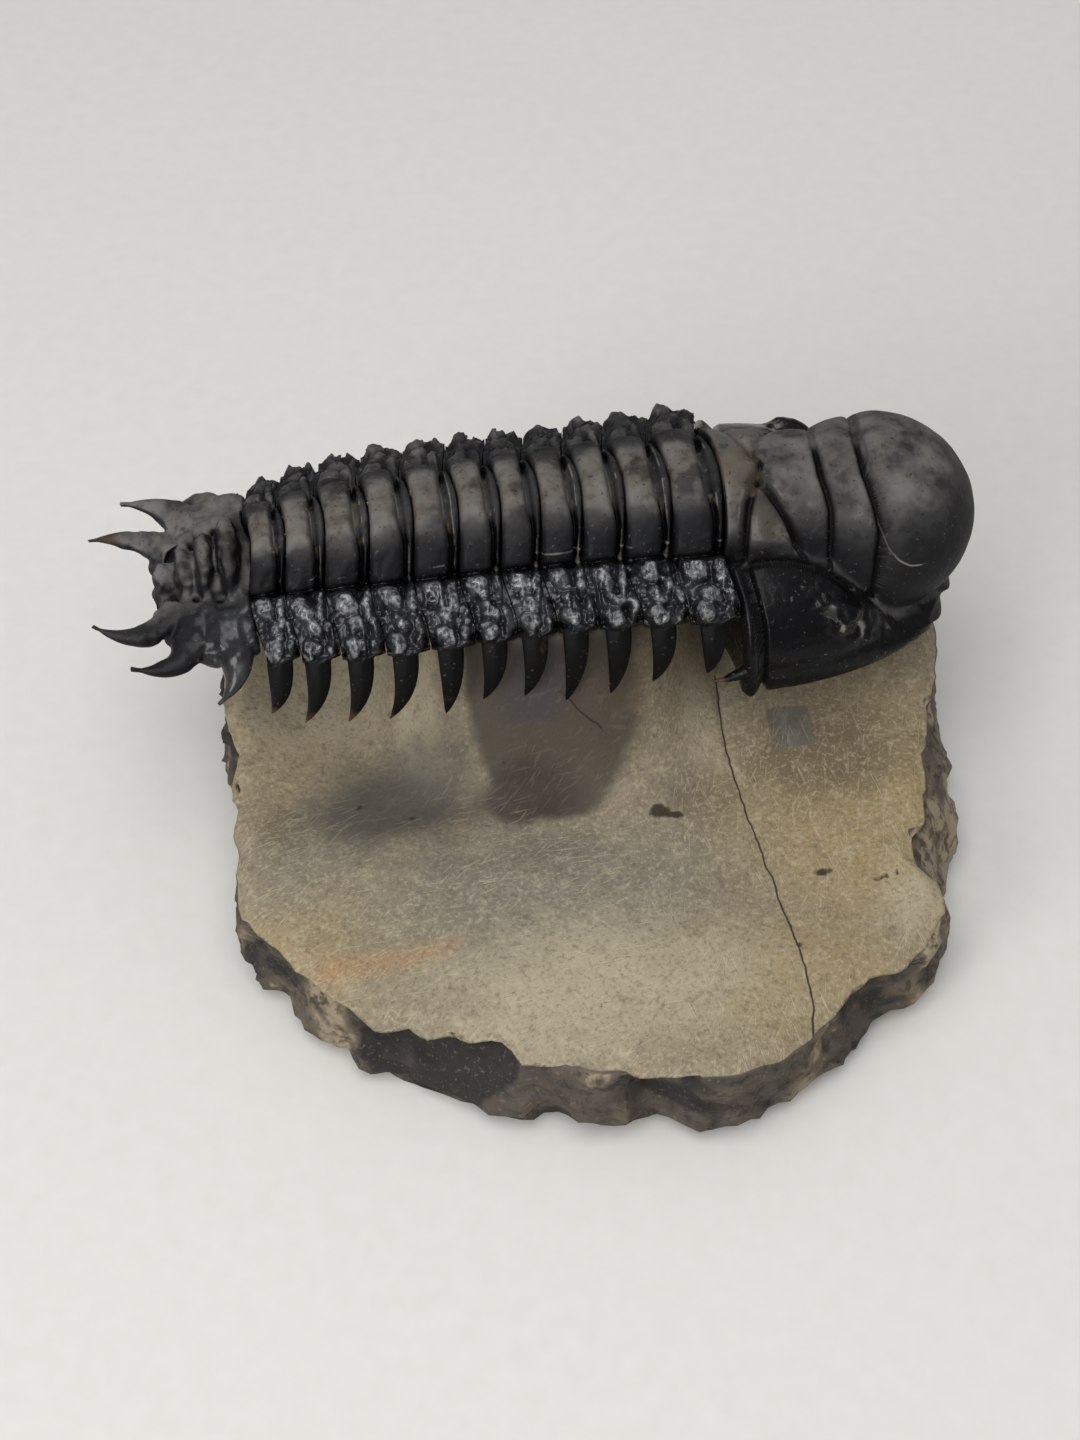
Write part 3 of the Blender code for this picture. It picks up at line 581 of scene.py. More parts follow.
def black_calcite():
    """Trilobite shell turned to black calcite, cleaned by air abrasion.

    Grey on its upper faces, partly dust where the abrasive met it from above and partly painted light from
    above;
    glossy blue-black on the flanks, with painted shade in its furrows, pits and hollows, painted glints on
    the crumpled pleurae, cream rock left in the grooves and iron stains at the tips.
    """
    look, add, shader, place = new_look("black calcite shell, air-abraded")
    # Patches, mottling and grain of the shell in millimetres. Its real grain is under 0.1, too fine to show,
    # and is drawn at 0.22.
    textures = patterns(add, place, {"patch": (4.0, 3.0, 0.6), "blot": (1.8, 3.0, 0.6),
                                     "mottle": (0.8, 3.0, 0.6), "grain": (0.22, 2.0, 0.6)})
    base = layered(add, linear("#151619"), (
        # Grey on the upper faces: partly real dust, partly painted light from above.
        ("dust", "patch", 0.9, 0.45, 1.5, 1.0, "#504e4c"),
        ("dust", "blot", 1.6, 1.35, 1.9, 0.8, "#74716c"),
        ("dust", "mottle", 1.2, 1.35, 1.75, 0.6, "#564c40"),
        ("", "mottle", 1.0, 0.56, 0.75, 0.5, "#2b2b2d"),
        ("", "blot", -1.0, -0.48, -0.36, 0.5, "#1a1919"),
        # Painted highlights: a lighter grey on the tops of the crumpled knobs, and whitish specks as painted
        # glints.
        ("polish_and_painted_glint", "mottle", 1.3, 1.05, 1.75, 0.75, "#404246"),
        ("polish_and_painted_glint", "grain", 1.6, 1.55, 1.95, 0.55, "#9b9c9c"),
        # Near-black: the black spines and cheeks, and painted shade in furrows, pits, valleys and lower
        # flanks.
        ("dark", "mottle", 0.3, 0.45, 0.95, 1.0, "#080808"),
        ("pale", "mottle", 0.9, 0.9, 1.4, 0.9, "#77736a"),
        ("rock", "mottle", 1.5, 1.1, 1.7, 0.7, "#62584a"),
        ("rust", "mottle", 1.0, 0.95, 1.5, 0.9, "#58402f"),
        ("", "grain", 1.0, 0.64, 0.76, 0.4, "#6e6b64"),
        ("", "grain", -1.0, -0.38, -0.28, 0.6, "#0e0e0f"),
    ), textures)
    crack = add(MARK, attribute_name="hairline").outputs["Fac"]
    base, _ = thin_line(add, base, crack, "hairline_near", 0.11, "#7d786f")
    gloss = add(MARK, attribute_name="gloss").outputs["Fac"]
    dull = add(RANGE, {0: gloss, 3: 0.58, 4: 0.24}).outputs[0]
    rough = add(MATH, {0: textures["mottle"], 1: 0.25, 2: dull}, operation="MULTIPLY_ADD").outputs[0]
    finish = add(MATH, {0: rough, 1: 0.1}, operation="SUBTRACT").outputs[0]
    grain, mottle = textures["grain"], textures["mottle"]
    fine = add(MATH, {0: grain, 1: 0.35, 2: mottle}, operation="MULTIPLY_ADD").outputs[0]
    relief = add("ShaderNodeBump", {"Height": fine, "Strength": 0.45, "Distance": 0.14 * MM}).outputs[0]
    # The crumpled plates kept their polish
    polish = add(MARK, attribute_name="polish_and_painted_glint").outputs["Fac"]
    coat = add(MATH, {0: polish, 1: 0.8}, operation="MULTIPLY").outputs[0]
    feed(shader, {"Base Color": base, "Roughness": finish, "Normal": relief, "Coat Weight": coat})
    shader.inputs["IOR"].default_value = CALCITE_IOR
    shader.inputs["Specular IOR Level"].default_value = 0.1  # fine pitting breaks up its shine
    shader.inputs["Coat Roughness"].default_value = 0.2
    shader.inputs["Coat IOR"].default_value = CALCITE_IOR
    return look


def limestone():
    """Fine limestone, carved with a rotary tool on top and broken round its rim.

    Tan and grey with pale tool marks where it was carved, with painted shadow under the animal and painted
    light on the pillar's flanks and under the tail; dark and rough where it was broken, with painted shade in
    its hollows.
    """
    look, add, shader, place = new_look("limestone, carved and broken")
    # Clouds, blotches, flecks and grit of the stone in millimetres. Its real grit is under 0.1, too fine to
    # show, and is drawn at 0.2.
    textures = patterns(add, place, {"cloud": (14.0, 3.0, 0.55), "blotch": (3.0, 3.0, 0.6),
                                     "fleck": (0.7, 3.0, 0.65), "grit": (0.2, 2.0, 0.6)})
    base = layered(add, linear("#8c806a"), (
        ("", "cloud", 1.0, 0.4, 0.65, 0.8, "#7d7360"),
        ("sand", "cloud", 0.5, 0.3, 1.1, 0.9, "#97845f"),
        ("grey", "blotch", 0.6, 0.35, 1.05, 0.9, "#7d786a"),
        # Paler stone, and painted light on the pillar's flanks and under the tail, where the animal shades
        # it.
        ("light", "blotch", 0.6, 0.35, 1.1, 1.0, "#aba087"),
        # Browner stone and painted shadow, under the head and to the right of the pillar.
        ("brown", "blotch", 0.6, 0.45, 1.15, 1.0, "#6e6048"),
        ("rust", "blotch", 1.2, 0.9, 1.6, 0.6, "#a87f56"),
        ("", "fleck", 1.0, 0.5, 0.78, 0.45, "#b3a88e"),
        ("", "fleck", -1.0, -0.46, -0.26, 0.5, "#655b48"),
        ("", "grit", 1.0, 0.53, 0.68, 0.35, "#bfb395"),
        ("", "grit", -1.0, -0.47, -0.32, 0.4, "#5d5341"),
        # Painted shadow of the body on the pillar's front face.
        ("pillar", "blotch", 0.9, 0.6, 1.25, 0.95, "#4b443a"),
        # Greyer stone and painted shadow, beside the pillar under the tail and the body.
        ("smoke", "blotch", 0.7, 0.5, 1.25, 0.9, "#46433d"),
        ("mauve", "blotch", 0.7, 0.5, 1.3, 0.85, "#484344"),
        # Reddish stone at the pillar's foot, darkened with painted shadow of the body.
        ("red", "blotch", 0.8, 0.65, 1.2, 0.9, "#3b302a"),
        ("inclusion", "fleck", 0.5, 0.65, 0.9, 0.7, "#5f5e57"),
    ), textures)
    # Strokes of the tool, level to the left and upright to the right
    level = scratches(add, place, (5, 24, 46), 300.0)
    upright = scratches(add, place, (56, 76, 100), 320.0)
    stroke = add(MARK, attribute_name="upright").outputs["Fac"]
    cuts = add(MIX, {0: stroke, 2: level, 3: upright}, data_type="FLOAT").outputs[0]
    worked = add(MARK, attribute_name="worked").outputs["Fac"]
    where = add(RANGE, {0: textures["blotch"], 1: 0.35, 2: 0.6}).outputs[0]
    shown = add(MATH, {0: where, 1: worked}, operation="MULTIPLY").outputs[0]
    cut = add(MATH, {0: shown, 1: cuts}, operation="MULTIPLY").outputs[0]
    light = add(MATH, {0: cut, 1: 0.3}, operation="MULTIPLY").outputs[0]
    base = add(MIX, {0: light, 6: base, 7: linear("#cbbf9f")}, data_type="RGBA").outputs[2]
    base = layered(add, base, (
        ("broken_skin", "blotch", 0.35, 0.45, 0.8, 1.0, "#4f473f"),
        ("broken_light", "blotch", 0.9, 0.6, 1.2, 0.8, "#86785f"),
        ("broken_light", "fleck", 1.8, 1.45, 1.75, 0.7, "#a0927b"),
        # Dark broken stone, and painted shade in the hollows broken out of the rim.
        ("broken_dark", "blotch", 0.9, 0.85, 1.3, 0.95, "#211d1b"),
        ("broken_skin", "fleck", -2.0, 0.0, 0.3, 0.7, "#292420"),
        ("broken_skin", "grit", 2.0, 2.15, 2.45, 0.3, "#857b6d"),
        ("spot", "fleck", 0.7, 0.8, 1.05, 0.95, "#33281a"),
    ), textures)
    # The long crack wanders by half a millimetre or so about its marked line
    side = add(MARK, attribute_name="crack_side").outputs["Fac"]
    wander = add(MATH, {0: textures["blotch"], 1: 1.4, 2: side}, operation="MULTIPLY_ADD").outputs[0]
    central = add(MATH, {0: wander, 1: 0.7}, operation="SUBTRACT").outputs[0]
    base, crack = thin_line(add, base, central, "crack_near", 0.12, "#352d25")
    fine = add(MATH, {0: textures["grit"], 1: 0.4, 2: textures["fleck"]}, operation="MULTIPLY_ADD").outputs[0]
    sunk = add(MATH, {0: cut, 1: -0.5, 2: fine}, operation="MULTIPLY_ADD").outputs[0]
    deep = add(MATH, {0: crack, 1: -1.5, 2: sunk}, operation="MULTIPLY_ADD").outputs[0]
    relief = add("ShaderNodeBump", {"Height": deep, "Strength": 0.5, "Distance": 0.2 * MM}).outputs[0]
    finish = add(RANGE, {0: textures["fleck"], 3: 0.72, 4: 0.95}).outputs[0]
    feed(shader, {"Base Color": base, "Roughness": finish, "Normal": relief})
    shader.inputs["IOR"].default_value = 1.5
    return look


def pale_card():
    """Matt off-white card, which gives an even, quiet ground under the object."""
    look, add, shader, place = new_look("pale card, matt")
    tooth = patterns(add, place, {"tooth": (1.0, 2.0, 0.5)})["tooth"]
    shade = add(MIX, {0: tooth, 6: linear("#dddad4"), 7: linear("#e4e2dd")}, data_type="RGBA").outputs[2]
    feed(shader, {"Base Color": shade, "Roughness": 0.9})
    return look


# Plates of the thorax


def lead(y, ring):
    """How far forward of its furrow a plate's edges run at a distance y from the midline."""
    y = np.abs(y)
    bow = RING_BOW * (1 - np.clip(y / ring, 0, 1) ** 2)
    return bow + PLEURA_LEAD * ease(y - ring, 0.0, PLEURA_SPAN)


def ring_place(across, out):
    """Where a point lies on RING_PROFILE. The ring is narrower on the crest than on the flanks."""
    edge = 0.22 + 0.3 * ease(out, 0.15, 0.6)
    return np.where(across < edge, (across + 1) * 1.18 / (edge + 1) - 1, 1 - (1 - across) * 0.82 / (1 - edge))


def segment_relief(number, across, out, side):
    """Height of a segment's surface: out is 0 to 1 on the ring and 1 to 2 on the inner pleura."""
    profile = ring_place(across, out)
    filled = 0.45 * (1 - ease(out, 0.0, 0.6)) * ease(profile, 0.25, 0.4)
    ring = curve(RING_PROFILE, profile) * (1 - filled)
    swollen = 0.12 * bump(out, 0.86, 0.12) * bump(across, -0.35, 0.5)
    chance = np.random.default_rng(100 + 2 * number + side)
    pleura = np.full(np.shape(across + out), KNOB_FLOOR)
    for place, spot, wide, long, height, slant in KNOBS:
        place = place + chance.normal(0, 0.05)
        spot = spot + chance.normal(0, 0.02)
        height = height * chance.uniform(0.85, 1.15)
        away = ((across - place - slant * (out - 1 - spot)) / wide) ** 2 + ((out - 1 - spot) / long) ** 2
        pleura = np.maximum(pleura, KNOB_FLOOR + height * np.clip(1 - away, 0, 1) ** 0.8)
    blend = ease(out, 0.95, 1.06)
    furrow = 0.75 * bump(out, 1.0, 0.05)
    return (ring + swollen) * (1 - blend) + pleura * blend - furrow


def segment_half(number, stations, outer, inner, side):
    """Loops of points and their marks from the midline to the spine's tip, on the left side."""
    front = THORAX_FRONT - sum(SEGMENT_LENGTHS[:number])
    length = SEGMENT_LENGTHS[number]
    middle = front - length / 2
    ring, height = curve(RING_HALF_WIDTH, middle), curve(RING_HEIGHT, middle)
    edge, drop = curve(PLEURA_EDGE, middle), curve(PLEURA_DROP, middle)
    tip = np.array((edge + SPINE_SPLAY, -SPINE_DROP[number]))

    u = np.asarray(stations, float)
    turn = np.clip(u, 0, 1) * math.pi / 2
    out = np.clip(u - 1, 0, 1)
    tau = np.clip(u - 2, 0, 1)
    upper = np.stack([np.where(u < 1, ring * np.sin(turn), ring + (edge - ring) * out),
                      np.where(u < 1, height * np.cos(turn), -drop * out**1.5)], -1)
    lower = np.stack([0.93 * upper[:, 0], np.full(len(u), BELLY)], -1)
    lower[:, 1] = np.minimum(lower[:, 1], upper[:, 1] - 0.9)
    hub = (np.array((edge, -drop)) + np.array((0.93 * edge, min(BELLY, -drop - 0.9)))) / 2
    elbow = (tip[0] + 0.5, -drop - 2.4)
    horn_line = bezier(hub, elbow, tip, tau)
    hangs = ease(tau, 0.0, 0.08)[:, None]
    attached = 1 - hangs
    on_spine = (u > 2)[:, None]
    upper = np.where(on_spine, horn_line + (np.array((edge, -drop)) - hub) * attached, upper)
    lower = np.where(on_spine, horn_line - (np.array((edge, -drop)) - hub) * attached, lower)
    # Which way the skin's relief rises, in degrees from upright, along the stations
    lean = np.radians(curve(((0, 0), (0.7, 48), (1.0, 45), (1.15, 15), (1.6, 26), (2.0, 42),
                             (2.3, 80), (3.0, 95)), u))
    normal = np.stack([np.sin(lean), np.cos(lean)], -1)

    freed = hangs[:, 0]
    taper = np.clip(1 - tau**2.4, 0.004, 1) ** 0.75
    half = (1 - freed) * (length - SEAM) / 2 + freed * SPINE_HALF_WIDTH * taper
    thick = freed * SPINE_THICKNESS * taper / 2
    swept = SPINE_SWEEP[number] * (0.3 * tau**2 + 0.9 * tau**4)
    centre = middle + lead(np.minimum(upper[:, 0], edge), ring) - 0.35 * freed - swept

    def skin(line, across, raised):
        places = line[:, None, :] + normal[:, None, :] * raised[..., None]
        x = centre[:, None] + half[:, None] * across
        return np.concatenate([x[..., None], places], -1)

    s_out = np.broadcast_to(np.asarray(outer, float), (len(u), len(outer)))
    s_in = np.asarray(inner, float)[None, :] * (1 - 0.2 * hangs)
    round_out = thick[:, None] * np.sqrt(np.clip(1 - s_out**2, 0, 1))
    round_in = thick[:, None] * np.sqrt(np.clip(1 - s_in**2, 0, 1))
    level = np.minimum(u, 2)[:, None]
    raised = segment_relief(number, s_out, level, side)
    on_pleura = ease(u, 0.95, 1.05)[:, None]
    if side == 0:
        raised = raised * (1 - 0.3 * on_pleura)  # the far pleurae are worn lower
    flat = skin(upper, s_out, raised * 0)
    rugged = RUGGED[number] * (1 - on_pleura)
    raised = raised + (0.08 + 0.09 * rugged) * lumps(flat, 1.3, 11)
    raised = raised + (0.04 + 0.1 * rugged) * lumps(flat, 0.6, 12)
    # Creases run down the flank
    drawn = flat * (1.0, 0.4, 0.4)
    creases = 0.5 - 2 * np.abs(lumps(drawn, 0.65, 14))
    crumpled = 0.3 * lumps(flat, 1.0, 13) + 0.3 * creases + 0.22 * lumps(flat, 0.45, 15)
    crumpled = crumpled * (1.0 if side else 0.7)
    pit = 0.9 * np.exp(-(((1 - np.abs(s_out)) / 0.3) ** 2 + ((level - 1.96) / 0.09) ** 2))
    raised = raised + on_pleura * (crumpled - pit)
    # Tops of the knobs, which dust and a painted highlight make lighter.
    tops = ease(raised, -0.25, 0.25) * on_pleura
    raised = raised * attached
    blade = hangs * (0.12 * bump(s_out, 0.0, 0.35) * (1 - tau[:, None]) - 0.35 * (1 - tau[:, None]))
    loops = np.concatenate([skin(upper, s_out, raised + round_out + blade), skin(lower, s_in, -round_in)], 1)

    on_ring = 1 - on_pleura
    u = u[:, None]
    low = ease(-raised, 0.55, 1.1) * attached
    crest = 1 - ease(u, 0.2, 0.7)
    profile = ring_place(s_out, level)
    groove = ease(profile, 0.25, 0.4)
    grey = 0.98 + 0.04 * ease(number, 3, 8)
    near_end = bump(u, 0.98, 0.06) * bump(s_out, 0.85, 0.15)
    spotty = ease(lumps(flat, 1.1, 16), -0.3, 0.5)
    far = 1.0 - side
    outer_marks = {
        # Grey on the ring's crest, fading down its flank, and on the knob tops: partly dust, partly painted
        # top light.
        "dust": (on_ring * grey * (1 - ease(u, 0.1, 0.72)) * (1 - 0.6 * groove)
                 + on_pleura * attached * (0.5 * far * (0.4 + 0.6 * tops) + 0.1 * tops)),
        # Black spines, and painted shade in the low places between the knobs and down the ring's lower flank.
        "dark": low * np.maximum(on_pleura, ease(u, 0.1, 0.5)) + 0.9 * hangs
                + 0.25 * on_ring * ease(u, 0.4, 0.7),
        "pale": on_ring * (0.9 * bump(profile, 0.68, 0.06) + 0.7 * bump(profile, 0.93, 0.04)) * spotty
                + near_end * spotty
                + 0.8 * on_ring * bump(u, 0.8, 0.02) * ease(lumps(flat, 1.2, 17), 0.1, 0.5),
        "rock": crest * groove * (0.1 + 0.55 * low) * spotty + 0.3 * RUGGED[number] * low * on_ring,
        "rust": SPINE_RUST[number] * ease(u, 2.6, 2.95) + 0.3 * RUGGED[number] * low * on_ring
                + 0.25 * crest * groove
                + 0.6 * hangs * bump(number, 4.5, 2.5) * ease(lumps(flat, 1.8, 18), 0.0, 0.5),
        "gloss": (0.95 * on_pleura * attached + 0.4 * on_ring * ease(u, 0.55, 0.9)) * (1 - 0.7 * far),
        # Polish of the pleurae, which gives their coat, and painted glints on the knob tops.
        "polish_and_painted_glint": on_pleura * (0.58 + 0.36 * tops) * attached * (1 - 0.8 * far),
        "grain": on_pleura * (u < 1.95) * 0.25 + 0.2 * rugged,
    }
    hidden = np.zeros((len(u), len(inner)))
    marks = {mark: np.concatenate([np.clip(values + 0 * s_out, 0, 1), hidden], 1)
             for mark, values in outer_marks.items()}
    return loops, marks


def thoracic_segment(number, look, grains):
    """One plate of the thorax with both of its pleurae and hanging spines."""
    spans = ((0, 1, RING_ROWS), (1, 2, PLEURA_ROWS), (2, ROOT_END, ROOT_ROWS))
    stations = np.concatenate([np.linspace(start, end, rows, endpoint=False) for start, end, rows in spans]
                              + [np.linspace(ROOT_END, 3, SPINE_ROWS)])
    # The points crowd a little towards the plate's two edges
    bent = np.sin(np.linspace(-math.pi / 2, math.pi / 2, POINTS_ABOVE))
    outer = bent * 0.35 + np.linspace(-1, 1, POINTS_ABOVE) * 0.65
    inner = np.linspace(1, -1, POINTS_BELOW)
    name = f"thoracic_segment_{number + 1:02d}"
    left, left_marks = segment_half(number, stations, outer, inner, 0)
    right, right_marks = segment_half(number, stations, outer, inner, 1)
    right[..., 1] *= -1
    loops = np.concatenate([right[:0:-1], left], 0)
    marks = {mark: np.concatenate([right_marks[mark][:0:-1], left_marks[mark]], 0) for mark in left_marks}
    mesh = closed_mesh(name, to_row(loops), marks)
    mesh = grown_by(name, mesh, grains, Grain_size=GRAIN_SIZE * MM,
                    Grains_per_square_metre=GRAINS_PER_SQUARE_METRE, Seed=number)
    make_piece(name, mesh, look)


# Shields of the head and tail


def soft_max(values, sharpness):
    """The largest of several fields, with a fillet where two are alike."""
    values = np.stack(values)
    top = values.max(0)
    return top + np.log(np.exp(sharpness * (values - top)).sum(0)) / sharpness


def ellipsoid(x, y, z, centre, radii):
    """Positive inside an ellipsoid, and roughly the depth in millimetres."""
    reach = np.sqrt(((x - centre[0]) / radii[0]) ** 2 + ((y - centre[1]) / radii[1]) ** 2
                    + ((z - centre[2]) / radii[2]) ** 2)
    return (1 - reach) * min(radii)


def head_field(x, y, z):
    """Positive inside the head shield, and roughly the depth in millimetres."""
    side = np.abs(y)
    front = ellipsoid(x, y, z, FRONT_LOBE, FRONT_LOBE_RADII)
    wide, root = curve(GLABELLA_HALF_WIDTH, x), curve(GLABELLA_ROOT, x)
    tall = curve(GLABELLA_CREST, x) - root
    rear = (1 - np.sqrt((y / wide) ** 2 + ((z - root) / tall) ** 2)) * wide
    rear = rear - 0.2 * np.clip(x - 25, 0, None) ** 2
    glabella = soft_max([front, rear], 3.0)
    for points, depth, half_width in GLABELLA_FURROWS:
        # A narrow cut in a wide shallow one
        away = distance_to_line(x, side, points)[0] / half_width
        cut = depth * (0.62 * bump(away, 0, 1) + 0.38 * bump(away, 0, 3.4))
        glabella = glabella - cut * ease(z, -11.0, -6.0) * (1 - 0.4 * ease(y, 0.0, 2.0))

    power = CHEEK_SQUARENESS
    tall = curve(CHEEK_HEIGHT, x)
    reach = ((np.abs(x - CHEEK_CENTRE[0]) / CHEEK_REACH[0]) ** power + (side / CHEEK_REACH[1]) ** power
             + (np.abs(z - CHEEK_CENTRE[2]) / tall) ** power) ** (1 / power)
    cheek = (1 - reach) * tall
    back = THORAX_FRONT + SEAM / 2 + lead(side, HEAD_RING)
    rim = 0.45 * bump(x, back + 0.8, 0.5) - 0.7 * bump(x, back + 1.95, 0.3)
    lift = z - HEAD_BELLY
    border = 0.08 * bump(lift, 1.0, 1.0) - 0.1 * bump(lift, 2.6, 0.5)
    cheek = cheek + rim + border * ease(x, back + 1.5, back + 3.0)
    eye = ellipsoid(x, side, z, EYE, EYE_RADII)
    shield = soft_max([glabella, cheek, eye], 5.0)
    shield = shield - 0.7 * bump(distance_to_line(x, side, AXIAL_FURROW)[0], 0, 0.36)
    return -soft_max([-shield, HEAD_BELLY - z, back - x], 6.0)


def tail_field(x, y, z):
    """Positive inside the plate and rings of the tail shield."""
    plate = ellipsoid(x, y, z, TAIL_PLATE, TAIL_PLATE_RADII)
    rings = [ellipsoid(x, y, z, (place, 0.0, -0.6), (1.25, wide, tall + 0.75))
             for place, wide, tall in TAIL_RINGS]
    shield = soft_max([plate, *rings], 7.0)
    for place, wide, _ in TAIL_RINGS:
        across = 0.22 * (1 - ease(np.abs(y), wide - 0.8, wide)) + 0.5 * bump(np.abs(y), wide - 0.3, 0.8)
        beside = bump(np.abs(y), wide + 0.3, 0.5) * bump(x, place, 1.0)
        shield = shield - bump(x, place - 1.05, 0.45) * across - 0.3 * beside
    front = THORAX_BACK - SEAM / 2 + lead(y, 4.6)
    return -soft_max([-shield, TAIL_BELLY - z, x - front], 6.0)


def wrapped(field, centre, reach, around, rows, top_share):
    """Loops of points drawn out from a centre to the surface of a field, with poles that point sideways.

    top_share of each loop's points lie over the upper half.
    """
    fall = np.linspace(0, math.pi, rows + 2)[1:-1, None]
    turn = np.linspace(0, 1, around, endpoint=False)[None, :]
    turn = 2 * math.pi * np.where(turn < top_share, turn / top_share / 2,
                                  0.5 + (turn - top_share) / (1 - top_share) / 2)
    ways = np.stack([np.sin(fall) * np.cos(turn), np.cos(fall) + 0 * turn, np.sin(fall) * np.sin(turn)], -1)

    def inside(distance):
        return field(*np.moveaxis(np.array(centre) + ways * distance[..., None], -1, 0)) > 0

    far = np.zeros(ways.shape[:2])
    for step in np.arange(0.5, reach, 0.5):
        far = np.where(inside(np.full(far.shape, step)), step, far)
    low, high = far, far + 0.5
    # The surface lies between low and high, which are halved until they meet
    for _ in range(11):
        middle = (low + high) / 2
        held = inside(middle)
        low, high = np.where(held, middle, low), np.where(held, high, middle)
    return np.array(centre) + ways * low[..., None], ways


def horn(root, elbow, tip, radius, steps, sides, side):
    """A curved spine, flattened a little, for the left (1) or right (-1) of the body."""
    t = np.linspace(0, 1, steps)
    spine = bezier(root, elbow, tip, t) * (1, side, 1)
    way = np.gradient(spine, axis=0)
    way /= np.linalg.norm(way, axis=1)[:, None]
    across = np.cross(way, (0, 0, 1))
    across /= np.linalg.norm(across, axis=1)[:, None]
    upward = np.cross(across, way)
    size = radius * np.clip(1 - t**1.6, 0.13, 1)
    turn = np.linspace(0, 2 * math.pi, sides, endpoint=False)
    loops = (spine[:, None] + size[:, None, None]
             * (across[:, None] * np.cos(turn)[:, None] + 0.72 * upward[:, None] * np.sin(turn)[:, None]))
    return closed_mesh("horn", to_row(loops))


def head_marks(mesh):
    """Dust and painted top light, furrows with painted shade, painted glints, stains and gloss of the head
    shield, from each point's place.
    """
    places, ways = points_of(mesh)
    body = from_row(places)
    x, y, z = body.T
    side = np.abs(y)
    furrow = np.zeros(len(x))
    lip = np.zeros(len(x))
    on_glabella = (side < curve(GLABELLA_HALF_WIDTH, x) + 0.3) * (z > -9)
    for points, _, half_width in GLABELLA_FURROWS:
        away = distance_to_line(x, side, points)[0] / half_width
        furrow = np.maximum(furrow, bump(away, 0, 1.2))
        lip = np.maximum(lip, bump(away, 2.0, 0.7))
    furrow = furrow * on_glabella * (1 - 0.5 * ease(y, 0.0, 2.0))
    axial = bump(distance_to_line(x, side, AXIAL_FURROW)[0], 0, 0.5) * (z > -9)
    back = THORAX_FRONT + lead(side, HEAD_RING)
    cheek = 1 - on_glabella
    first_lobe = bump(x, 18.7, 1.8) * bump(side, 5.6, 1.8)
    ridge = bump(distance_to_line(x, z, EYE_RIDGE)[0], 0, 0.7) * (side > 7) * (1 - 0.5 * ease(x, 26.0, 29.0))
    apart, hand = distance_to_line(x, z, LOBE_CRACK)
    flecks = ease(lumps(body, 0.7, 32), 0.05, 0.45)
    lip = lip * on_glabella * ease(z, -1.0, 0.5) * ease(lumps(body, 1.5, 31), -0.3, 0.6)
    # Grey on the upward faces: partly dust, partly painted light from above.
    dust_and_painted_top_light = 0.78 * ease(ways[:, 2], 0.0, 1.0) + 1.15 * first_lobe * ease(ways[:, 2], -0.4, 0.3)
    keep_marks(mesh, {
        "hairline": apart * hand,
        "hairline_near": (1 - ease(apart, 0.4, 0.7)) * (y < -3) * (0.3 + 0.6 * ease(x, 29.4, 30.4)),
        "dust": dust_and_painted_top_light * np.where(cheek, 0.08, 1.0),
        # Black cheek, and painted shade in the glabellar and axial furrows.
        "dark": np.maximum(np.maximum(furrow, axial), 0.6 * cheek),
        "pale": 0.7 * lip + 1.1 * ridge * flecks,
        "rock": 0.4 * ridge
                + 0.85 * ease(20.0 - x, 0.0, 2.0) * (1 - ease(side, 1.0, 5.5)) * ease(z, 1.5, 3.0),
        "rust": 0.4 * ease(19.0 - x, 0.0, 3.0) * (1 - ease(side, 1.0, 6.0)) + 0.8 * ease(back - x, 0.5, 2.0),
        # Polish and painted glints on the crumpled eye ridge.
        "polish_and_painted_glint": ridge * flecks,
        "gloss": 0.9 * cheek + 0.1,
    })


def cephalon(look):
    """The head shield with its genal spines."""
    loops, ways = wrapped(head_field, HEAD_CENTRE, HEAD_REACH, *HEAD_POINTS)
    x, y, z = np.moveaxis(loops, -1, 0)
    ridge = bump(distance_to_line(x, z, EYE_RIDGE)[0], 0, 0.9) * ease(np.abs(y), 6.0, 8.5)
    ridge = ridge * (1 - 0.6 * ease(x, 26.0, 29.0)) * (1 - ease(x, 32.0, 35.5))
    fine = (0.035 * lumps(loops, 1.6, 21) + 0.02 * lumps(loops, 0.6, 22)
            + ridge * (0.2 + 0.5 * lumps(loops, 1.2, 23) + 0.3 * lumps(loops, 0.6, 24)))
    loops = loops + ways * fine[..., None]
    spines = [horn(*GENAL_SPINE, GENAL_SPINE_RADIUS, steps=24, sides=24, side=side) for side in (1, -1)]
    mesh = fused("cephalon", [closed_mesh("cephalon", to_row(loops)), *spines])
    head_marks(mesh)
    make_piece("cephalon", mesh, look)


def tail_marks(mesh):
    """Dust and painted top light, pits with painted shade, painted glints and stains of the tail shield, from
    each point's place.
    """
    places, ways = points_of(mesh)
    body = from_row(places)
    x, y, z = body.T
    side = np.abs(y)
    pits = np.zeros(len(x))
    for place, wide, _ in TAIL_RINGS:
        pits = np.maximum(pits, bump(x, place - 1.0, 0.5) * bump(side, wide - 0.4, 0.6))
    flank = ease(-y, 2.5, 6.0)
    keep_marks(mesh, {
        # Grey on the upward faces, less on the near flank: partly dust, partly painted light from above.
        "dust": 0.82 * ease(ways[:, 2], 0.0, 0.9) * (1 - 0.75 * flank),
        # Polish and painted glints on the near flank.
        "polish_and_painted_glint": 0.5 * flank * ease(x, -34.0, -29.0),
        # Painted shade in the pits beside the tail's rings.
        "dark": pits,
        "pale": 0.3 * ease(lumps(body, 1.2, 41), 0.1, 0.8),
        "rock": 0.15 * ease(lumps(body, 2.2, 42), 0.0, 0.8),
        "rust": 0.25 * (y > 3) + 0.45 * ease(-x, 37.0, 39.5),
        "gloss": 0.15 + 0.5 * flank,
        "grain": 0.25 * (side < 9) * (x > -37),
    })


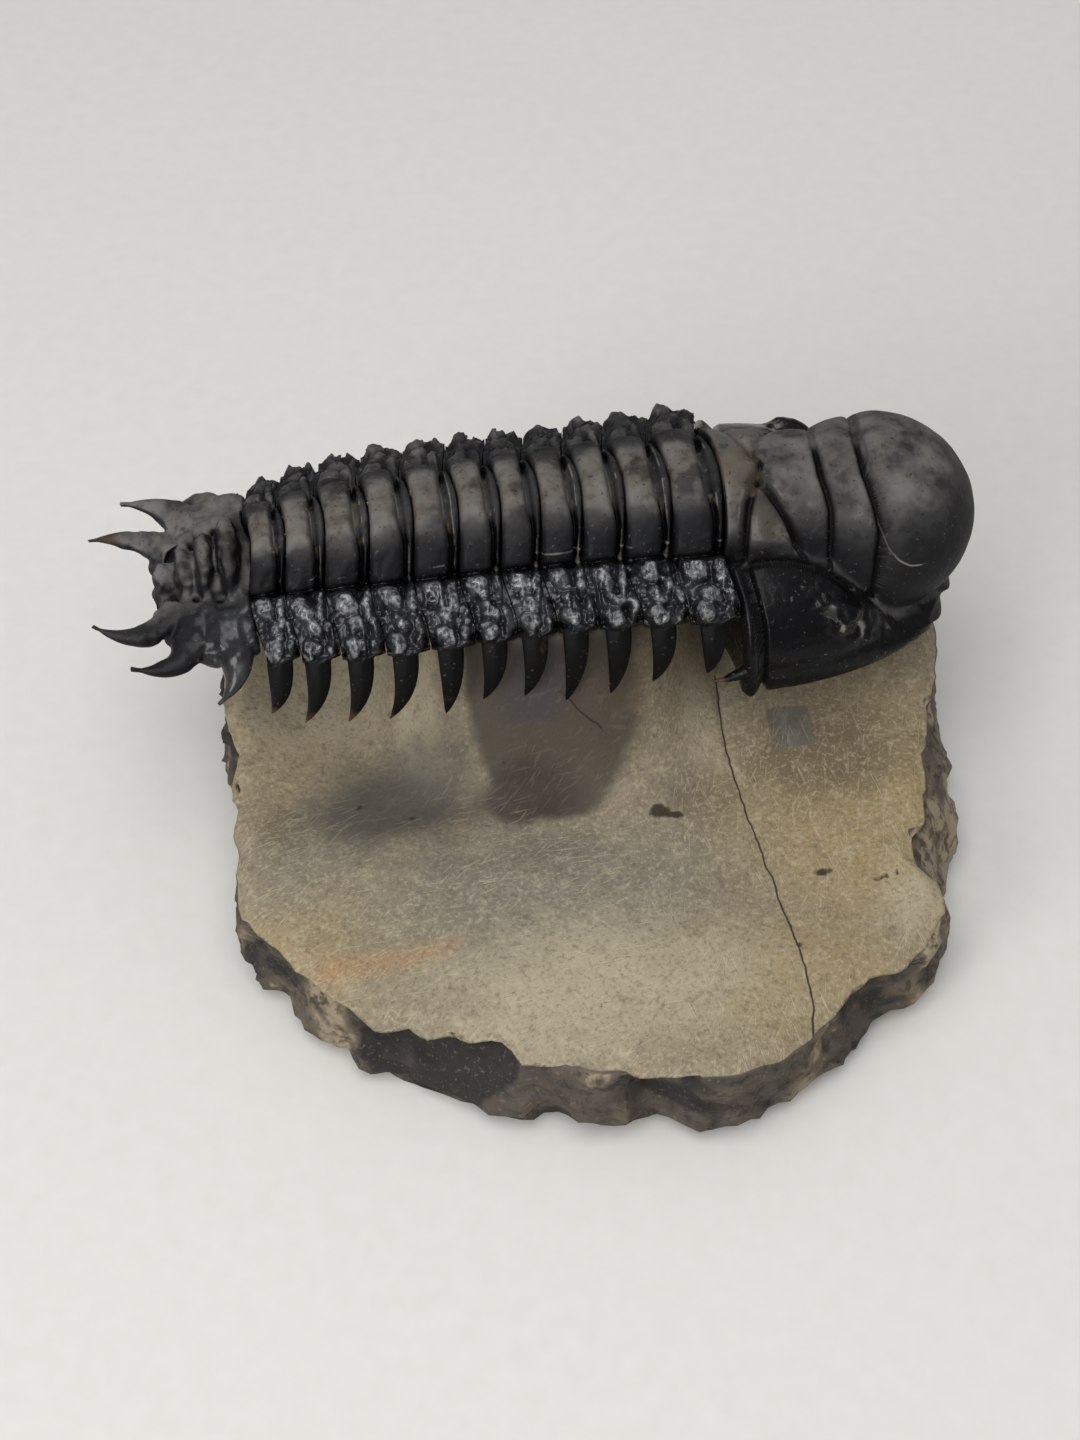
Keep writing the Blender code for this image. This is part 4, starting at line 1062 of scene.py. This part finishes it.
def pygidium(look, grains):
    """The tail shield and its six spines, joined in one skin."""
    loops, _ = wrapped(tail_field, TAIL_CENTRE, TAIL_REACH, *TAIL_POINTS)
    spines = [horn(*bend, radius, steps=40, sides=28, side=side)
              for (*bend, radius), far in zip(TAIL_SPINES, (FAR_TAIL_SPINE, None, None))
              for side, bend in ((-1, bend), (1, far or bend))]
    mesh = fused("pygidium", [closed_mesh("pygidium", to_row(loops)), *spines])

    def add_modifiers(holder):
        skin = holder.modifiers.new("one skin", "REMESH")
        skin.mode = "VOXEL"
        skin.voxel_size = TAIL_SKIN * MM
        even = holder.modifiers.new("even", "SMOOTH")
        even.factor = 0.5
        even.iterations = 2

    mesh = evaluated("pygidium", mesh, add_modifiers)
    places, ways = points_of(mesh)
    body = from_row(places)
    x, y, _ = body.T
    pits = np.zeros(len(body))
    for place, wide, _ in TAIL_RINGS:
        pits += np.exp(-(((x - place + 1.0) / 0.45) ** 2 + ((np.abs(y) - wide + 0.4) / 0.5) ** 2))
    fine = 0.24 * lumps(body, 1.6, 43) + 0.16 * lumps(body, 0.7, 44) - 0.5 * pits * (ways[:, 2] > 0)
    fine = fine * (1 - 0.85 * ease(np.hypot(x - TAIL_PLATE[0], y), 8.5, 11.5))  # the spines are smoother
    mesh.vertices.foreach_set("co", (places + ways * fine[:, None] * MM).ravel())
    mesh.update()
    tail_marks(mesh)
    mesh = grown_by("pygidium", mesh, grains, Grain_size=TAIL_GRAIN_SIZE * MM,
                    Grains_per_square_metre=TAIL_GRAINS_PER_SQUARE_METRE, Seed=20)
    make_piece("pygidium", mesh, look)


# Limestone block


def pillar_share(x, y):
    """1 on the edge of the pillar's level top, less inside it and more outside."""
    return ((np.abs(x - PILLAR_CENTRE[0]) / PILLAR_TOP[0]) ** PILLAR_SQUARENESS
            + (np.abs(y - PILLAR_CENTRE[1]) / PILLAR_TOP[1]) ** PILLAR_SQUARENESS) ** (1 / PILLAR_SQUARENESS)


def ground(x, y):
    """Height of the carved stone at a place in plan."""
    floor = FLOOR + 1.0 * np.sin(0.11 * x + 0.4) * np.cos(0.13 * y)
    floor = floor + 4.6 * ease(y, -16.0, 16.0) - 0.9 * ease(-y, 30.0, 47.0)
    floor = floor + 1.6 * ease(-x, 22.0, 33.0) * ease(y, -30.0, 0.0) + 1.2 * ease(x, 26.0, 38.0)
    outside = np.clip(pillar_share(x, y) - 1, 0, None) * min(PILLAR_TOP)
    rise = np.clip(1 - outside / PILLAR_FLARE, 0, 1)
    rise = 0.55 * rise**2.6 + 0.45 * rise**7
    top = BODY_Z + BELLY - GAP + math.tan(ROLL) * y
    return floor + (top - floor) * rise


def outline_at(points, turn):
    """Radius round the pillar of an outline through a few points, at each bearing."""
    x, y = np.array(points).T
    bearing = np.arctan2(y - PILLAR_CENTRE[1], x - PILLAR_CENTRE[0])
    radius = np.hypot(x - PILLAR_CENTRE[0], y - PILLAR_CENTRE[1])
    order = np.argsort(bearing)
    return np.interp(turn, bearing[order], radius[order], period=2 * math.pi)


def stone_block(look, broken_rock):
    """The block with its carved top and pedestal, its broken side and its flat foot."""
    # More of the meridians run over the broad front of the stone than over its narrow back
    share = np.linspace(0, 1, MERIDIANS, endpoint=False)
    turns = 2 * math.pi * share + 0.5 * np.sin(2 * math.pi * share + math.pi / 2)
    cos, sin = np.cos(turns), np.sin(turns)
    wide = outline_at(OUTLINE, turns)
    ring = np.stack([30 * cos, 30 * sin, 0 * cos], -1)
    nibbled = 0.3 * lumps(ring, 1.6, 51) + 0.2 * lumps(ring, 0.7, 52)
    rim = np.minimum(outline_at(EDGE, turns), wide - 0.35) + nibbled
    level = 1 / pillar_share(PILLAR_CENTRE[0] + cos, PILLAR_CENTRE[1] + sin)
    flare = level * (1 + PILLAR_FLARE / min(PILLAR_TOP))
    radii = [step * level for step in np.linspace(0.03, 1, PILLAR_ROWS)]
    radii += [level + step * (flare - level) for step in np.linspace(0, 1, FLARE_ROWS)[1:]]
    radii += [flare + step * (rim - flare) for step in np.linspace(0, 1, FLOOR_ROWS)[1:]]
    radii = np.array(radii)
    x, y = PILLAR_CENTRE[0] + radii * cos, PILLAR_CENTRE[1] + radii * sin
    z = ground(x, y)
    plan = np.stack([x, y, z], -1)
    z = z + (0.22 * lumps(plan, 6.0, 53) + 0.07 * lumps(plan, 2.0, 54)) * ease(radii, 12.0, 16.0)
    worn = ease(radii, rim - 2.5, rim)
    z = z - 0.5 * worn**2 - 0.3 * worn * (lumps(plan, 1.6, 55) > 0.25)
    cut = distance_to_line(x, y, FLOOR_CRACK)[0]
    z = z - 0.16 * bump(cut, 0.0, 0.35)

    # Outer side: from the carved edge down to the foot, widest at the waist
    side = np.linspace(0, 1, SIDE_ROWS)[1:, None]
    edge = z[-1]
    steps = (0, 0.4, 0.72, 0.9, 1.0)
    fall = np.interp(side, steps, (0, 0.32, 1.0, 1.6, 2.0))
    heights = np.where(fall < 1, edge + fall * (WAIST_HEIGHT - edge), WAIST_HEIGHT * (2 - fall))
    foot = FOOT_SHARE * wide
    low_share = ease(side, 0.85, 1.0)
    outer = rim + np.interp(side, steps, (0, 0.55, 1.0, 0.97, 0.9)) * (wide - rim)
    outer = outer * (1 - low_share) + foot * low_share
    hollow = np.zeros(outer.shape)
    for (px, py), half_width, depth, darkness in SCOOPS:
        bearing = math.atan2(py - PILLAR_CENTRE[1], px - PILLAR_CENTRE[0])
        arc = (np.mod(turns - bearing + math.pi, 2 * math.pi) - math.pi) * wide
        bowl = np.clip(1.3 - (arc / half_width) ** 2 - ((side - 0.35) / 0.6) ** 2, 0, 1)
        outer = outer - depth * bowl * (1 - 0.4 * (arc / half_width))
        # Painted shade in each hollow by its darkness, a little less towards its foot.
        hollow = hollow + darkness * ease(bowl, 0.0, 0.5) * (1 - 0.2 * ease(side, 0.5, 0.8))
    xs, ys = PILLAR_CENTRE[0] + outer * cos, PILLAR_CENTRE[1] + outer * sin
    rock = np.stack([xs, ys, heights], -1)
    rough = 0.5 * lumps(rock, 2.8, 63) + 0.35 * lumps(rock, 1.3, 64) + 0.25 * lumps(rock, 0.65, 65)
    calm = 1 - 0.5 * ease(xs, 25.0, 34.0)
    rough = rough * ease(side, 0.0, 0.12) * ease(1 - side, 0.0, 0.12)
    rough = rough * (1 - 0.4 * np.clip(hollow, 0, 1)) * calm
    xs, ys = xs + rough * cos, ys + rough * sin
    loops = np.concatenate([np.stack([x, y, z], -1), np.stack([xs, ys, heights], -1)])
    on_side = np.concatenate([0 * x, np.broadcast_to(side, outer.shape)])
    hollow = np.concatenate([0 * x, hollow])

    x, y, z = np.moveaxis(loops, -1, 0)
    topside = 1.0 - (on_side > 0)
    cut, hand = distance_to_line(x, y, FLOOR_CRACK)
    cut_up, hand_up = distance_to_line(x, z, PILLAR_CRACK)
    cut_up = np.where((z > 13) * (y < -6), cut_up, 9.0)
    nearer = cut_up < cut
    cut, hand = np.where(nearer, cut_up, cut), np.where(nearer, hand_up, hand)
    spot = np.zeros(x.shape)
    for (px, py), long, across in SPOTS:
        spot = np.maximum(spot, 1 - 0.5 * np.hypot((x - px) / long, (y - py) / across))
    streak = distance_to_line(x, y, RUST_STREAK)[0]
    square = np.maximum(np.abs(x - INCLUSION[0]), np.abs(y - INCLUSION[1]) * 0.93)
    # The pillar's front face is painted dark as the shadow of the body over it.
    column = np.hypot((x + 0.5) / 9.7, (y + 7.5) / 11.2)  # 1 along the foot of the pillar's dark face
    marks = {
        "broken": ease(on_side, 0.0, 0.12) * ease(z, 0.2, 2.0) * (1 - 0.4 * np.clip(hollow, 0, 1))
                  * (1 - 0.5 * ease(x, 25.0, 34.0)),
        "broken_skin": ease(on_side, 0.0, 0.02),
        "broken_light": (on_side > 0) * (0.4 * ease(x, 14.0, 32.0)
                                         + 0.3 * ease(-x, 22.0, 25.0) * ease(-y, 25.0, 30.0)
                                         + 0.5 * lumps(loops, 2.6, 61) - 0.5 * hollow + 0.15),
        # Dark broken stone, with painted shade in the hollows.
        "broken_dark": (on_side > 0) * (0.15 + 0.6 * lumps(loops, 1.8, 62) + 0.5 * hollow
                                        + 0.3 * ease(-x, -3.0, 6.0) - 0.4 * ease(x, 25.0, 34.0)),
        # Painted shadow of the body on the pillar's front face.
        "pillar": topside * (1 - ease(column, 0.82 - 0.35 * ease(x, 0.0, 8.0), 1.06)) * ease(-y, 2.0, 6.0)
                  * (1 - 0.35 * ease(x, -4.0, 8.0) * ease(-y, 8.0, 18.0)),
        "inclusion": topside * (1 - ease(square, 1.5, 2.6)),
        "rust": 0.75 * topside * (1 - ease(streak, 0.2, 3.0)) + 0.7 * bump(x, 0.5, 1.6) * bump(y, -46.0, 2.0)
                + 0.8 * bump(x, 5.0, 2.0) * bump(z, 18.0, 2.0) * (y < -9),
        "worked": topside * (1 - 0.75 * (1 - ease(column, 0.86, 1.1)) * ease(-y, 2.0, 6.0))
                  * (1 - 0.75 * bump(x, -16.5, 9.0) * bump(y, -14.0, 6.0))
                  * (1 - 0.6 * ease(y, -14.0, -9.0)),
        "spot": topside * spot,
        "upright": ease(x + 4 * lumps(loops, 7.0, 66), 2.0, 9.0),
        "crack_side": cut * hand,
        "crack_near": topside * (1 - ease(cut, 1.2, 2.0)),
    }
    for mark, (px, py), long, across, strength in PATCHES:
        patch = strength * topside * bump(x, px, long) * bump(y, py, across)
        marks[mark] = np.maximum(marks.get(mark, 0), patch)
    marks["mauve"] = np.maximum(marks["mauve"], topside * bump(x, -3.2, 3.6) * ease(z, 16.0, 18.5) * (y < -6))
    loops = (loops + (BODY_X, BODY_Y, 0)) * MM
    mesh = closed_mesh("limestone_matrix", loops, marks)
    mesh = grown_by("limestone_matrix", mesh, broken_rock, Chip_size=CHIP_SIZE * MM,
                    Chip_depth=CHIP_DEPTH * MM, Crumb_size=CRUMB_SIZE * MM, Crumb_depth=CRUMB_DEPTH * MM,
                    Seed=3.0)
    make_piece("limestone_matrix", mesh, look)


# Floor, light and camera


def floor(look):
    """A wide level card under the object."""
    mesh = bpy.data.meshes.new("floor")
    corners = [(x * FLOOR_REACH, y * FLOOR_REACH, 0) for x, y in ((-1, -1), (1, -1), (1, 1), (-1, 1))]
    mesh.from_pydata(corners, [], [(0, 1, 2, 3)])
    mesh.materials.append(look)
    new_object("floor", mesh)


def hold(name, data, axes, place):
    """An object for a lamp or camera at a place, with its x, y and z axes turned to the given directions."""
    holder = new_object(name, data)
    turned = np.eye(4)
    turned[:3] = np.stack([*axes, place], -1)
    holder.matrix_world = Matrix(turned.tolist())
    return holder


def studio():
    """Soft light from a pale surround, brighter above, and from two wide lamps in front."""
    world = bpy.data.worlds.new("soft studio")
    world.use_nodes = True
    add = partial(add_node, world.node_tree)
    upward = add("ShaderNodeSeparateXYZ", {0: add("ShaderNodeTexCoord").outputs["Generated"]}).outputs["Z"]
    sky = add(RANGE, {0: upward, 3: 0.16, 4: 0.58}).outputs[0]
    feed(world.node_tree.nodes["Background"], {"Color": linear("#e9ebee"), "Strength": sky})
    bpy.context.scene.world = world
    for name, place, aim, size, power in LIGHTS:
        lamp = bpy.data.lights.new(name, "AREA")
        lamp.size = size
        lamp.energy = power
        back = np.array(place, float) - aim
        back /= np.linalg.norm(back)
        right = np.cross((0.0, 1.0, 0.01), back)
        right /= np.linalg.norm(right)
        hold(name, lamp, (right, np.cross(back, right), back), place)
    bpy.context.scene.view_settings.view_transform = "Standard"


def photo_camera():
    """The camera at the photograph's angle."""
    turn, pitch = CAMERA_TURN, CAMERA_PITCH
    right = np.array((math.cos(turn), math.sin(turn), 0.0))
    back = np.array((math.sin(turn) * math.cos(pitch), -math.cos(turn) * math.cos(pitch), math.sin(pitch)))
    up = np.cross(back, right)
    pixel = CAMERA_DISTANCE / FOCAL
    aside = (BODY_IN_PHOTO[0] - PHOTO[0] / 2) * pixel
    above = (PHOTO[1] / 2 - BODY_IN_PHOTO[1]) * pixel
    place = np.array((BODY_X, BODY_Y, BODY_Z)) - aside * right - above * up + CAMERA_DISTANCE * back
    camera = bpy.data.cameras.new("photo camera")
    camera.sensor_width = SENSOR
    camera.lens = SENSOR * FOCAL / PHOTO[1]
    camera.clip_start = 0.01
    bpy.context.scene.camera = hold("photo camera", camera, (right, up, back), place * MM)


def main():
    shell, stone = black_calcite(), limestone()
    grains = grain_tree("grains on the shell", shell)
    stone_block(stone, broken_rock_tree("broken rock", stone))
    cephalon(shell)
    for number in range(len(SEGMENT_LENGTHS)):
        thoracic_segment(number, shell, grains)
    pygidium(shell, grains)
    floor(pale_card())
    studio()
    photo_camera()


main()
